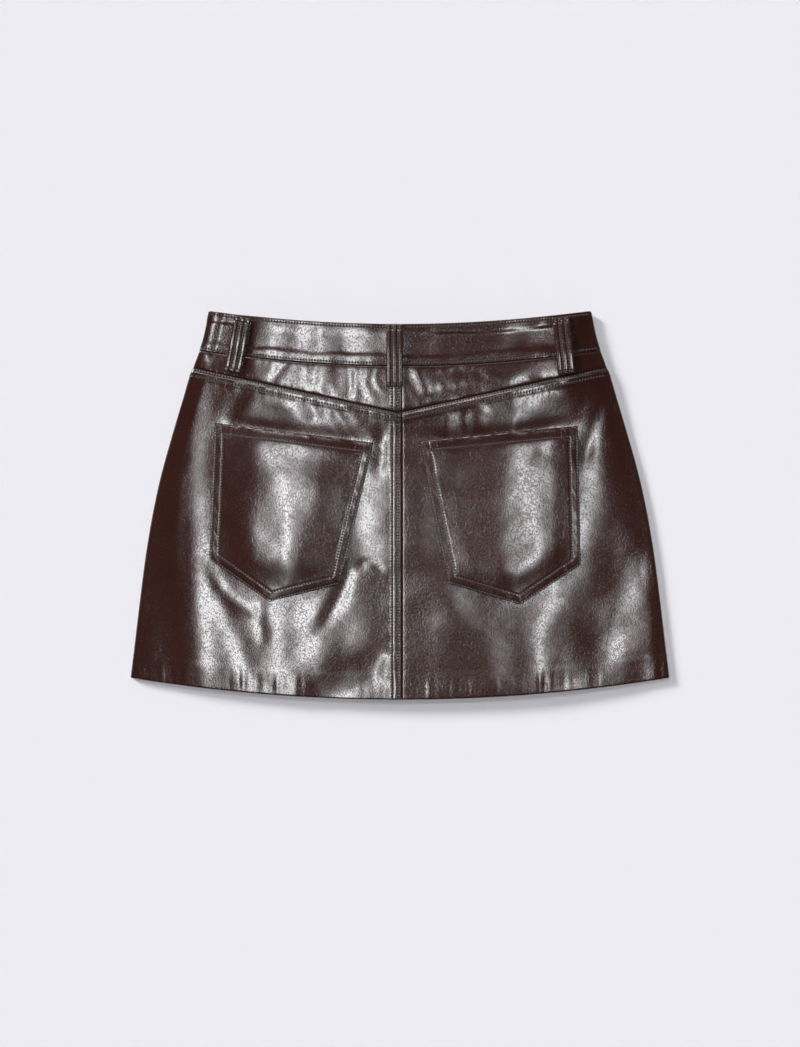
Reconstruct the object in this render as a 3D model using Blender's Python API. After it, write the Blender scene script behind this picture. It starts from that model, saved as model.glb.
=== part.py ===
"""A jeans-cut leather mini skirt that lies flat on its front, back side up.

Metres, +Z up, +Y toward the waist, origin under the middle of the skirt on the surface that it lies on.
The tables are in millimetres, and MM turns them into metres. A level of the skirt is named by its depth:
how far down the centre back it lies from the waist's top edge.
"""

import math
from collections import namedtuple

import bmesh
import bpy
import numpy as np

MM = 0.001

# The cut
LENGTH = 359.0
WAISTBAND_DEPTH = 40.3
CENTRE_BACK_TOP = 173.2
CENTRE_BACK_X = 1.3
YOKE_DEPTH_AT_CENTRE = 84.8
YOKE_RISE_TO_SIDE = 43.6
YOKE_BOW = 15.9
YOKE_APEX = -0.014

# The leather
LEATHER = 1.2
WAISTBAND_THICK = 2.1
HEM_THICK = 2.1
HEM_START, HEM_FULL = 26.0, 22.0  # above the hem edge
SEAM_GAP = 0.3
LAID_ON_GAP = 0.6

# How it lies
FOLD_RADIUS = 2.5
FRONT_RAISED = 1.8
RAISED_UNTIL, FLAT_FROM = 62.0, 130.0
LEAST_INNER_GAP = 0.5
CALM_EDGE = 14.0  # the folds die out this far from the side

# How finely the leather is divided, in cells
BACK_COLUMNS = 18
FRONT_COLUMNS = 8
WAISTBAND_COLUMNS = 9
SIDE_TURNS = 4
PANEL_ROWS = 18
YOKE_ROWS = 4
WAISTBAND_ROWS = 3
POCKET_COLUMNS, POCKET_ROWS = 8, 9
LOOP_ROWS, LOOP_COLUMNS = 10, 4
BUTTON_SIDES = 32

Section = namedtuple("Section", "depth half_width back_sag front_sag")
SECTIONS = [
    Section(0.0, 182.9, 13.0, 28.0),
    Section(40.3, 192.2, 15.3, 26.5),
    Section(56.4, 198.0, 15.6, 25.8),
    Section(113.3, 215.8, 16.6, 23.5),
    Section(171.2, 231.4, 17.6, 22.0),
    Section(228.1, 242.1, 18.6, 21.0),
    Section(286.0, 249.7, 19.6, 20.2),
    Section(342.8, 256.3, 20.4, 20.0),
    Section(359.0, 258.2, 20.6, 20.0),
]

# Soft ridges (height above zero) and troughs of the upper side, along a curve through three places.
# The widths are those of the slopes to the right and to the left of the curve's run.
DOME = 5.0  # how far the upper side's middle stands above its sides
CURVE_SAMPLES = 17
FOLD_ENDS = 0.3  # the share of its length over which a fold rises and dies out
Fold = namedtuple("Fold", "name height right_width left_width start middle end")
FOLDS = [
    Fold("left_side_ridge", 0.8, 21.0, 16.0, (-183, 149), (-204, 24), (-183, -244)),
    Fold("right_side_ridge", 0.4, 17.0, 21.0, (192, 140), (196, 34), (190, -91)),
    Fold("left_pocket_swell", 1.25, 58.0, 52.0, (-92, 53), (-108, -14), (-115, -97)),
    Fold("right_pocket_swell", 0.9, 35.0, 36.0, (104, 111), (103, 24), (88, -91)),
    Fold("ridge_between_pockets", 1.1, 29.0, 58.0, (-1, 67), (-3, -2), (-1, -81)),
    Fold("left_lower_trough", -0.4, 10.0, 10.0, (-177, -58), (-169, -115), (-132, -198)),
    Fold("right_loop_swell", 1.9, 83.0, 35.0, (160, 209), (159, 159), (156, 72)),
    Fold("lower_right_trough", -2.0, 44.0, 42.0, (207, -20), (201, -120), (217, -283)),
    Fold("lower_right_outer_ridge", 0.3, 21.0, 15.0, (250, -49), (242, -110), (242, -187)),
    Fold("left_loop_trough", -1.3, 38.0, 12.0, (-148, 201), (-153, 164), (-157, 128)),
    Fold("centre_waist_ridge", 1.0, 33.0, 38.0, (-1, 197), (-1, 140), (-1, 78)),
    Fold("low_diagonal_ridge", 0.8, 25.0, 33.0, (23, -49), (54, -110), (96, -156)),
    Fold("hem_trough", -0.75, 16.0, 18.0, (-104, -168), (-58, -152), (2, -129)),
]

# Patch pockets, as the corners of each in plan
Pocket = namedtuple("Pocket", "side mouth_outer mouth_inner low_inner point low_outer point_share")
POCKETS = [
    Pocket("left", (-177.1, 78.9), (-25.3, 59.8), (-57.1, -75.4), (-125.0, -92.0), (-182.2, -51.6), 0.46),
    Pocket("right", (169.9, 76.0), (18.2, 61.6), (46.1, -74.7), (115.0, -95.0), (172.8, -56.9), 0.46),
]
POCKET_THICK = 1.3
POCKET_RIM_EXTRA = 0.7
POCKET_RIM, POCKET_RIM_END = 8.5, 11.0

Loop = namedtuple("Loop", "side top bottom")
BACK_LOOPS = [
    Loop("left", (-150.0, 179.4), (-160.2, 127.2)),
    Loop("centre", (-5.1, 172.4), (-5.1, 112.6)),
    Loop("right", (153.4, 179.2), (158.8, 125.3)),
]
FRONT_LOOPS = [
    Loop("left", (-88.0, 163.0), (-92.0, 107.0)),
    Loop("right", (88.0, 163.0), (92.0, 107.0)),
]
LOOP_WIDTH = 16.0
LOOP_THICK = 2.2
LOOP_ARCH = 0.9
LOOP_CROWN = 0.4
FRONT_LOOP_THICK = 1.4

BUTTON_RADIUS = 8.5
BUTTON_FACE_RADIUS = 7.3
BUTTON_THICK = 1.4
BUTTON_EDGE_RISE = 0.35
BUTTON_X, BUTTON_DEPTH = -12.0, 20.0

LEATHER_COLOUR = (0.036, 0.016, 0.012)
BUTTON_COLOUR = (0.09, 0.075, 0.065)


def smoothstep(low, high, value):
    share = np.clip((value - low) / (high - low), 0.0, 1.0)
    return share * share * (3.0 - 2.0 * share)


def section_value(column, depth):
    """A column of SECTIONS at a depth, on a smooth curve through its rows."""
    at = np.array([row.depth for row in SECTIONS])
    values = np.array([getattr(row, column) for row in SECTIONS])
    slopes = np.gradient(values, at)
    depth = np.clip(depth, at[0], at[-1])
    row = np.clip(np.searchsorted(at, depth) - 1, 0, len(at) - 2)
    span = at[row + 1] - at[row]
    t = (depth - at[row]) / span
    return (
        values[row] * (1 + 2 * t) * (1 - t) ** 2
        + values[row + 1] * t * t * (3 - 2 * t)
        + slopes[row] * span * t * (1 - t) ** 2
        - slopes[row + 1] * span * t * t * (1 - t)
    )


def plan_y(x, depth, sag_column="back_sag"):
    """Where a level lies in plan: an arc that hangs between its two ends at the sides."""
    half_width = section_value("half_width", depth)
    end_y = CENTRE_BACK_TOP - depth + section_value("back_sag", depth)
    return end_y - section_value(sag_column, depth) * (1.0 - (x / half_width) ** 2)


def depth_at(x, y):
    """The level of the back that passes through a place in plan."""
    depth = CENTRE_BACK_TOP - y
    for _ in range(6):
        share = x / section_value("half_width", depth)
        depth = CENTRE_BACK_TOP - y + section_value("back_sag", depth) * share**2
    return depth


def yoke_depth(share):
    """The yoke seam: a wide V, at a share of the way from the centre to the side."""
    share = np.abs(share - YOKE_APEX)
    return YOKE_DEPTH_AT_CENTRE - YOKE_RISE_TO_SIDE * share + YOKE_BOW * share**2


def fold_lift(fold, x, y):
    """The height that a fold adds at places in plan."""
    start, middle, end = np.array([fold.start, fold.middle, fold.end], float)
    square, linear = 2 * start - 4 * middle + 2 * end, -3 * start + 4 * middle - end
    t = np.linspace(0.0, 1.0, CURVE_SAMPLES).reshape((-1,) + (1,) * np.ndim(x))
    gap = (square[0] * t * t + linear[0] * t + start[0] - x) ** 2
    gap = gap + (square[1] * t * t + linear[1] * t + start[1] - y) ** 2
    t = np.argmin(gap, axis=0) / (CURVE_SAMPLES - 1)
    for _ in range(3):  # Newton steps to the nearest place on the curve
        off_x = square[0] * t * t + linear[0] * t + start[0] - x
        off_y = square[1] * t * t + linear[1] * t + start[1] - y
        run_x, run_y = 2 * square[0] * t + linear[0], 2 * square[1] * t + linear[1]
        t = np.clip(t - (off_x * run_x + off_y * run_y) / (run_x**2 + run_y**2), 0.0, 1.0)
    off_x = square[0] * t * t + linear[0] * t + start[0] - x
    off_y = square[1] * t * t + linear[1] * t + start[1] - y
    run_x, run_y = 2 * square[0] * t + linear[0], 2 * square[1] * t + linear[1]
    width = np.where(run_x * off_y - run_y * off_x < 0, fold.left_width, fold.right_width)
    across = np.exp(-(off_x**2 + off_y**2) / width**2)
    return fold.height * across * smoothstep(0.0, FOLD_ENDS, t) * smoothstep(0.0, FOLD_ENDS, 1.0 - t)


def raised(depth):
    """How far the front lies above the surface: the loops and button hold its waist up."""
    return FRONT_RAISED * (1.0 - smoothstep(RAISED_UNTIL, FLAT_FROM, depth))


def wall_thickness(depth):
    hem = smoothstep(LENGTH - HEM_START, LENGTH - HEM_FULL, depth)
    return LEATHER + (HEM_THICK - LEATHER) * hem


def back_height(x, y, depth):
    """The outer face of the upper side, clear of the front below it."""
    half_width = section_value("half_width", depth)
    lift = sum(fold_lift(fold, x, y) for fold in FOLDS)
    lift = lift * smoothstep(0.0, CALM_EDGE, half_width - FOLD_RADIUS - np.abs(x))
    lift = lift + DOME * (1.0 - np.abs(x / half_width) ** 3)
    room = 2 * FOLD_RADIUS - 2 * wall_thickness(depth) - LEAST_INNER_GAP
    lift = np.where(lift < 0, room * np.tanh(lift / room), lift)
    return raised(depth) + 2 * FOLD_RADIUS + lift


def height_in_plan(x, y):
    return back_height(x, y, depth_at(x, y))


def stations(cells):
    """(share of the way to the side fold, angle round it) of each column of a panel that ends at the side.

    The last column lies past the side seam. It gives the seam's edge its direction and is then dropped.
    """
    seam = math.acos(SEAM_GAP / 2 / FOLD_RADIUS)
    flat = [(column / cells, 0.0) for column in range(cells + 1)]
    return flat + [(1.0, seam * turn / SIDE_TURNS) for turn in range(1, SIDE_TURNS + 2)]


def side_panel_points(columns, depths, side, inner_x, upper):
    """A grid of points on the outer face of a panel, from inner_x out and round the side fold."""
    points = np.zeros(depths.shape + (3,))
    for index, (share, turn) in enumerate(columns):
        depth = depths[:, index]
        fold_x = side * (section_value("half_width", depth) - FOLD_RADIUS)
        x = inner_x + share * (fold_x - inner_x)
        if upper:
            y = plan_y(x, depth)
            z = back_height(x, y, depth) - FOLD_RADIUS * (1.0 - math.cos(turn))
        else:
            y = plan_y(x, depth, "front_sag")
            z = raised(depth) + FOLD_RADIUS * (1.0 - math.cos(turn))
        points[:, index] = np.stack([x + side * FOLD_RADIUS * math.sin(turn), y, z], axis=-1)
    return points


def offset_inward(points, thickness, up):
    """The inner face of a wall: each point moved against the outward normal."""
    across = np.gradient(points, axis=1)
    down = np.gradient(points, axis=0)
    normal = np.cross(down, across)
    normal /= np.linalg.norm(normal, axis=-1, keepdims=True)
    if normal[..., 2].sum() * up < 0:
        normal = -normal
    return points - normal * np.asarray(thickness)[..., None]


def side_wall(name, points, thickness, up, both_ends=False):
    """A leather wall whose last column, or first and last, is only a guide past the side seam."""
    inner = offset_inward(points, thickness, up)
    kept = slice(1, -1) if both_ends else slice(0, -1)
    points, inner = points[:, kept], inner[:, kept]
    for seam in (0, -1) if both_ends else (-1,):
        inner[:, seam, 2] = points[:, seam, 2]  # the cut edge at the side seam is level
    solid_between(name, points, inner, leather())


def leather():
    return material("leather", LEATHER_COLOUR, 0.32, 0.0)


def material(name, colour, roughness, metallic):
    made = bpy.data.materials.get(name) or bpy.data.materials.new(name)
    made.use_nodes = True
    shader = made.node_tree.nodes["Principled BSDF"]
    shader.inputs["Base Color"].default_value = (*colour, 1.0)
    shader.inputs["Roughness"].default_value = roughness
    shader.inputs["Metallic"].default_value = metallic
    return made


def solid_between(name, outer, inner, finish):
    """One closed solid whose two faces are grids of the same size, in millimetres."""
    rows, columns = outer.shape[:2]
    mesh = bmesh.new()
    layers = [[[mesh.verts.new(point * MM) for point in row] for row in grid] for grid in (outer, inner)]
    for layer in layers:
        for row in range(rows - 1):
            for column in range(columns - 1):
                corner = layer[row][column], layer[row][column + 1]
                mesh.faces.new((*corner, layer[row + 1][column + 1], layer[row + 1][column]))
    border = [(0, column) for column in range(columns)]
    border += [(row, columns - 1) for row in range(1, rows)]
    border += [(rows - 1, column) for column in range(columns - 2, -1, -1)]
    border += [(row, 0) for row in range(rows - 2, 0, -1)]
    for (row_a, column_a), (row_b, column_b) in zip(border, border[1:] + border[:1]):
        outside = layers[0][row_a][column_a], layers[0][row_b][column_b]
        mesh.faces.new((*outside, layers[1][row_b][column_b], layers[1][row_a][column_a]))
    bmesh.ops.recalc_face_normals(mesh, faces=mesh.faces)
    data = bpy.data.meshes.new(name)
    mesh.to_mesh(data)
    mesh.free()
    data.materials.append(finish)
    made = bpy.data.objects.new(name, data)
    bpy.context.scene.collection.objects.link(made)
    return made


def slab(name, place, over, under):
    """A patch or strip that lies on the skirt: the same plan for both faces, at two sets of heights."""
    upper, lower = (np.concatenate([place, height[..., None]], axis=-1) for height in (over, under))
    solid_between(name, upper, lower, leather())


def rows_between(top, bottom, cells):
    """Depths of the rows of a grid, evenly spaced between two seam lines."""
    share = np.linspace(0.0, 1.0, cells + 1)[:, None]
    return top[None, :] + share * (bottom - top)[None, :]


def panel_depths(top):
    """Depths of the rows of a panel from its upper seam to the hem, with the turned-up hem's own rows."""
    hem_top = np.full_like(top, LENGTH - HEM_START)
    hem_rows = np.array([HEM_FULL, HEM_FULL / 2, 0.0])[:, None]
    return np.vstack([rows_between(top, hem_top, PANEL_ROWS), np.repeat(LENGTH - hem_rows, len(top), axis=1)])


def back_panels():
    columns = stations(BACK_COLUMNS)
    shares = np.array([share for share, _ in columns])
    for name, side in (("left", -1), ("right", 1)):
        depths = panel_depths(yoke_depth(side * shares) + SEAM_GAP / 2)
        outer = side_panel_points(columns, depths, side, CENTRE_BACK_X + side * SEAM_GAP / 2, True)
        side_wall("back_panel_" + name, outer, wall_thickness(depths), 1)


def yokes():
    columns = stations(BACK_COLUMNS)
    shares = np.array([share for share, _ in columns])
    for name, side in (("left", -1), ("right", 1)):
        top = np.full_like(shares, WAISTBAND_DEPTH + SEAM_GAP / 2)
        depths = rows_between(top, yoke_depth(side * shares) - SEAM_GAP / 2, YOKE_ROWS)
        outer = side_panel_points(columns, depths, side, CENTRE_BACK_X + side * SEAM_GAP / 2, True)
        side_wall("yoke_" + name, outer, wall_thickness(depths), 1)


def waistband_depths(columns):
    top = np.zeros(columns)
    return rows_between(top, top + WAISTBAND_DEPTH - SEAM_GAP / 2, WAISTBAND_ROWS)


def back_waistband():
    """One band from side seam to side seam."""
    half = stations(WAISTBAND_COLUMNS)
    depths = waistband_depths(len(half))
    left = side_panel_points(half, depths, -1, 0.0, True)
    right = side_panel_points(half, depths, 1, 0.0, True)
    outer = np.concatenate([left[:, :0:-1], right], axis=1)
    side_wall("waistband_back", outer, np.full(outer.shape[:2], WAISTBAND_THICK), 1, both_ends=True)


def front_waistbands():
    columns = stations(WAISTBAND_COLUMNS)
    depths = waistband_depths(len(columns))
    for name, side in (("left", -1), ("right", 1)):
        outer = side_panel_points(columns, depths, side, side * SEAM_GAP / 2, False)
        side_wall("waistband_front_" + name, outer, np.full(outer.shape[:2], WAISTBAND_THICK), -1)


def front_panels():
    """Their rows are level with those of the yoke and back panel that they meet at the side seam."""
    columns = stations(FRONT_COLUMNS)
    for name, side in (("left", -1), ("right", 1)):
        yoke_end = yoke_depth(np.array([side * 1.0]))
        waist = np.array([WAISTBAND_DEPTH + SEAM_GAP / 2])
        rows = np.vstack([rows_between(waist, yoke_end, YOKE_ROWS)[:-1], panel_depths(yoke_end)])
        depths = np.repeat(rows, len(columns), axis=1)
        outer = side_panel_points(columns, depths, side, side * SEAM_GAP / 2, False)
        side_wall("front_panel_" + name, outer, wall_thickness(depths), -1)


def along_edge(corners, shares, point_share):
    """Places on the two edges that meet in the pocket's point."""
    low_outer, point, low_inner = (np.array(corner) for corner in corners)
    first = np.clip(shares / point_share, 0.0, 1.0)[:, None]
    second = np.clip((shares - point_share) / (1.0 - point_share), 0.0, 1.0)[:, None]
    return low_outer + (point - low_outer) * first + (low_inner - point) * second


def edge_distance(place, corners):
    """The distance from places inside a convex outline to the nearest of its edges."""
    found = np.full(place.shape[:-1], np.inf)
    for first, second in zip(corners, corners[1:] + corners[:1]):
        run = np.array(second) - np.array(first)
        off = place - np.array(first)
        found = np.minimum(found, np.abs(run[0] * off[..., 1] - run[1] * off[..., 0]) / np.hypot(*run))
    return found


def pocket_shares(across, cells):
    """Grid lines across a pocket: at its edges, on both sides of its doubled rim, and evenly between."""
    rim, rim_end = POCKET_RIM / across, POCKET_RIM_END / across
    step = (1.0 - 2 * rim_end) / cells
    between = rim_end + step * np.arange(1, cells)
    return np.array([0.0, rim, rim_end, *between, 1 - rim_end, 1 - rim, 1.0])


def pockets():
    """Home-plate patches that follow the panel below them, thicker where their edges are turned in."""
    for pocket in POCKETS:
        corners = [pocket.mouth_outer, pocket.mouth_inner, pocket.low_inner, pocket.point, pocket.low_outer]
        shares = pocket_shares(math.dist(*corners[:2]), POCKET_COLUMNS)
        shares[np.argmin(abs(shares - pocket.point_share))] = pocket.point_share
        mouth_run = np.subtract(pocket.mouth_inner, pocket.mouth_outer)
        mouth = np.array(pocket.mouth_outer) + shares[:, None] * mouth_run
        low = along_edge((pocket.low_outer, pocket.point, pocket.low_inner), shares, pocket.point_share)
        down = pocket_shares(pocket.mouth_outer[1] - pocket.low_outer[1], POCKET_ROWS)
        place = mouth[None] + down[:, None, None] * (low - mouth)[None]
        under = height_in_plan(place[..., 0], place[..., 1]) + LAID_ON_GAP
        rim_share = 1.0 - smoothstep(POCKET_RIM, POCKET_RIM_END, edge_distance(place, corners))
        over = under + POCKET_THICK + POCKET_RIM_EXTRA * rim_share
        slab("back_pocket_" + pocket.side, place, over, under)


def strip_plan(loop, rows, columns):
    """The plan of a belt loop: a straight strip between its top and bottom middles, cells down and across."""
    top, bottom = np.array(loop.top), np.array(loop.bottom)
    run = (bottom - top) / np.hypot(*(bottom - top))
    beside = np.array([-run[1], run[0]])
    down = np.linspace(0.0, 1.0, rows + 1)[:, None, None]
    across = np.linspace(-0.5, 0.5, columns + 1)[None, :, None]
    return top + down * (bottom - top) + across * LOOP_WIDTH * beside


def back_loops():
    """Strips tacked at both ends, which stand a little off the waistband between and are crowned across."""
    arch = LOOP_ARCH * np.sin(np.pi * np.linspace(0.0, 1.0, LOOP_ROWS + 1))[:, None] ** 2
    crown = np.full((1, LOOP_COLUMNS + 1), LOOP_CROWN)
    crown[:, [0, -1]] = 0.0
    for loop in BACK_LOOPS:
        place = strip_plan(loop, LOOP_ROWS, LOOP_COLUMNS)
        below = height_in_plan(place[..., 0], place[..., 1]).max(axis=1, keepdims=True)
        under = np.repeat(below + LAID_ON_GAP + arch, LOOP_COLUMNS + 1, axis=1)
        slab("belt_loop_back_" + loop.side, place, under + LOOP_THICK - LOOP_CROWN + crown, under)


def front_loops():
    """Flat strips that the skirt lies on."""
    for loop in FRONT_LOOPS:
        place = strip_plan(loop, 2, 1)
        under = np.zeros(place.shape[:2])
        slab("belt_loop_front_" + loop.side, place, under + FRONT_LOOP_THICK, under)


def waist_button():
    """A disc whose face, with its rounded edge, looks down."""
    y = float(plan_y(BUTTON_X, BUTTON_DEPTH, "front_sag"))
    rings = [(BUTTON_FACE_RADIUS, 0.0), (BUTTON_RADIUS, BUTTON_EDGE_RISE), (BUTTON_RADIUS, BUTTON_THICK)]
    angles = [2 * math.pi * step / BUTTON_SIDES for step in range(BUTTON_SIDES)]
    mesh = bmesh.new()
    loops = []
    for radius, z in rings:
        circle = [(BUTTON_X + radius * math.cos(a), y + radius * math.sin(a), z) for a in angles]
        loops.append([mesh.verts.new(np.array(point) * MM) for point in circle])
    for low, high in zip(loops, loops[1:]):
        for step in range(BUTTON_SIDES):
            following = (step + 1) % BUTTON_SIDES
            mesh.faces.new((low[step], low[following], high[following], high[step]))
    mesh.faces.new(loops[0])
    mesh.faces.new(loops[-1])
    bmesh.ops.recalc_face_normals(mesh, faces=mesh.faces)
    data = bpy.data.meshes.new("waist_button")
    mesh.to_mesh(data)
    mesh.free()
    data.materials.append(material("button_metal", BUTTON_COLOUR, 0.35, 1.0))
    bpy.context.scene.collection.objects.link(bpy.data.objects.new("waist_button", data))


def main():
    for old in list(bpy.data.objects):
        bpy.data.objects.remove(old, do_unlink=True)
    back_waistband()
    yokes()
    back_panels()
    pockets()
    back_loops()
    front_waistbands()
    front_panels()
    front_loops()
    waist_button()


main()
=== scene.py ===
"""Looks of a jeans-cut leather mini skirt that lies flat on its front, back side up.

The cut and the way it lies are worked out in millimetres, from the same sizes as the frame's solids, and each
mesh is turned into metres as it is made. A level of the skirt is named by its depth: how far down the centre
back it lies from the waist's top edge.
"""

import logging
import math
from dataclasses import dataclass, field
from enum import Enum, IntEnum
from typing import Any, NamedTuple, Sequence

import bpy
import numpy as np
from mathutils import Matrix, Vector


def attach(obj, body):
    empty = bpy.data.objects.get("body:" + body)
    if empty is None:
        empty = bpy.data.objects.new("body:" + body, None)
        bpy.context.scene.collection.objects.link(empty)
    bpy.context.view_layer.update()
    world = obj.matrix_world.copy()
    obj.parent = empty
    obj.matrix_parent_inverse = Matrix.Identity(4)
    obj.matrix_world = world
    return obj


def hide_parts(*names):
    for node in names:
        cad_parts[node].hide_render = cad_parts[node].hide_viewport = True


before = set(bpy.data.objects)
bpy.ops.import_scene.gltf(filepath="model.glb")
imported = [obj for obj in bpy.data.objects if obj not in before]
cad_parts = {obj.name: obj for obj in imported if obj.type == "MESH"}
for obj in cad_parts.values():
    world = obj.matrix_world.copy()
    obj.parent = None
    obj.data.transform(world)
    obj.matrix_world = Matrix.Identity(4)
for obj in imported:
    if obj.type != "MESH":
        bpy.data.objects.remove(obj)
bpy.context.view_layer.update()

LOG = logging.getLogger("skirt")
MM = 0.001
BODY = "root"
SEWING_MAP = "sewing"
STITCH_PITCH = 2.75
FAR_FROM_SEWING = 40.0  # how far off a row of stitches a place counts as where it has no row
WAVE_TURNS = 1024  # after how many turns a wave starts again
WAVES_START = 300.0  # what is added to a place on the body before a wave is read there
POCKET_WAVES_START = 400.0
ROLL_MARKS = (0.0, 0.1, 0.3, 0.6, 1.0)  # where a rolled edge needs points
GROOVE_MARKS = (-0.8, -0.4, 0.0, 0.4, 0.8)  # where a stitched groove needs points
Array = np.ndarray
Place = tuple[float, float]


class Side(Enum):
    """The two sides of the skirt, as seen from above, by the sign of x."""

    LEFT = -1
    RIGHT = 1

    @property
    def word(self) -> str:
        """The side's name in piece names."""
        return self.name.lower()


class Wave(IntEnum):
    """The uneven waves and surfaces, by the seeds that tell them apart."""

    SWELL = 3
    RIPPLE = 5
    CENTRE_SEAM = 21
    YOKE_LOW = 31
    YOKE_TOP = 37
    YOKE_SEAM = 41
    HEM = 51
    HEM_STRETCH = 57
    BAND_LOW = 61
    BAND_TOP = 67
    BAND_SWELL = 71
    BAND_CREASE = 73
    BAND_FOLD = 75
    BAND_TOP_LIP = 76
    BAND_LOW_LIP = 77
    BAND_FINE_CREASE = 79
    POCKET_RIM = 81
    POCKET_MOUTH = 83
    POCKET_LIP = 87


# ---- shapes worked out in numbers


def smooth(low: float, high: float, value: Array) -> Array:
    """A rise from 0 at low to 1 at high with level ends.

    Args:
        low: where the rise starts.
        high: where it ends.
        value: places.

    Returns:
        The share of the rise at each place.
    """
    share = np.clip((value - low) / (high - low), 0.0, 1.0)
    return share * share * (3.0 - 2.0 * share)


def bell(distance: Array, width: float) -> Array:
    """A soft bump of height 1 at distance 0 that has nearly died out at twice its width."""
    return np.exp(-((distance / width) ** 2))


def rolled(distance: Array, radius: float, drop: float) -> Array:
    """The height of an edge that is rolled down.

    Args:
        distance: distances from the edge.
        radius: how far in the roll reaches.
        drop: how far the very edge lies below the flat.

    Returns:
        Heights from -drop at the edge to 0 past the radius.
    """
    share = np.clip(1.0 - distance / radius, 0.0, 1.0)
    return -drop * (1.0 - np.sqrt(1.0 - share * share))


def fade(share: Array) -> Array:
    """A rise from 0 to 1 whose slope and curvature vanish at both ends."""
    return share**3 * (share * (share * 6.0 - 15.0) + 10.0)


def wander(along: Array, pitch: float, seed: int) -> Array:
    """A smooth uneven wave between -1 and 1 along a line.

    Args:
        along: places on the line.
        pitch: the distance from one turn of the wave to the next.
        seed: which wave.

    Returns:
        The wave's height at each place.
    """
    table = np.random.default_rng(seed).uniform(-1.0, 1.0, WAVE_TURNS)
    cell = np.floor(along / pitch).astype(int)
    share = fade(along / pitch - cell)
    return table[cell % WAVE_TURNS] * (1.0 - share) + table[(cell + 1) % WAVE_TURNS] * share


class Sway(NamedTuple):
    """An uneven wave: how far it goes either way, the distance between its turns, and which one it is."""

    amount: float
    pitch: float
    wave: Wave

    def at(self, along: Array) -> Array:
        """How far it goes at each place."""
        return self.amount * wander(along, self.pitch, self.wave)


def rumple(x: Array, y: Array, size: float, seed: int, waves: int = 9, peak: float = 4.0) -> Array:
    """A smooth uneven surface of about 1 each way, made of waves that cross at chance angles.

    Args:
        x: places across.
        y: places along.
        size: the distance from one swell to the next.
        seed: which surface.
        waves: how many waves cross.
        peak: about how high they stand where they meet.

    Returns:
        The surface's height at each place.
    """
    chance = np.random.default_rng(seed)
    total = np.zeros_like(x)
    least, most = (0.0, 0.75, 0.0), (math.pi, 1.5, 2 * math.pi)
    for angle, length, start in chance.uniform(least, most, (waves, 3)):
        along = x * math.cos(angle) + y * math.sin(angle)
        total += np.cos(2 * math.pi * along / (size * length) + start)
    return total / peak


def divide(marks: Sequence[float], cell: float) -> Array:
    """Places at the marks and evenly between them, no further apart than a cell.

    Args:
        marks: places that the result holds, in rising order.
        cell: the greatest step.

    Returns:
        The places, in rising order.
    """
    places = [marks[0]]
    for low, high in zip(marks, marks[1:]):
        steps = max(1, math.ceil((high - low) / cell - 1e-6))
        places += [low + (high - low) * step / steps for step in range(1, steps + 1)]
    return np.array(places)


def edge_marks(grooves: Sequence[float], reach: float) -> list[float]:
    """Marks that a rolled edge and the stitch grooves beside it need.

    Args:
        grooves: how far from the edge each groove lies.
        reach: where the marks end.

    Returns:
        Distances from the edge, in rising order.
    """
    marks = {*ROLL_MARKS, reach}
    for groove in grooves:
        marks |= {round(groove + step, 3) for step in GROOVE_MARKS}
    return sorted(mark for mark in marks if 0.0 <= mark <= reach)


def spread(near: Array, cells: int, far: Array, total: Array) -> Array:
    """Places over a stretch: fixed distances from both its ends, and evenly between them.

    Args:
        near: distances from the first end.
        cells: how many cells lie between.
        far: distances from the last end.
        total: the length of each stretch.

    Returns:
        One row of places for each stretch.
    """
    total = np.asarray(total, float)[:, None]
    between = np.linspace(0.0, 1.0, cells + 1)[1:-1]
    middle = near[-1] + (total - near[-1] - far[-1]) * between
    first = np.repeat(near[None, :], len(total), axis=0)
    return np.concatenate([first, middle, total - far[::-1]], axis=1)


# ---- the cut and the way it lies


class Section(NamedTuple):
    """A level of the skirt: its depth, half its width, and how far its back and its front sag."""

    depth: float
    half_width: float
    back_sag: float
    front_sag: float


class Fold(NamedTuple):
    """A soft ridge, or a trough where its height is below 0, along a curve through three places.

    Its half-widths are those on its right and its left hand, on the way from its start to its end.
    """

    height: float
    right_width: float
    left_width: float
    start: Place
    middle: Place
    end: Place


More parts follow.
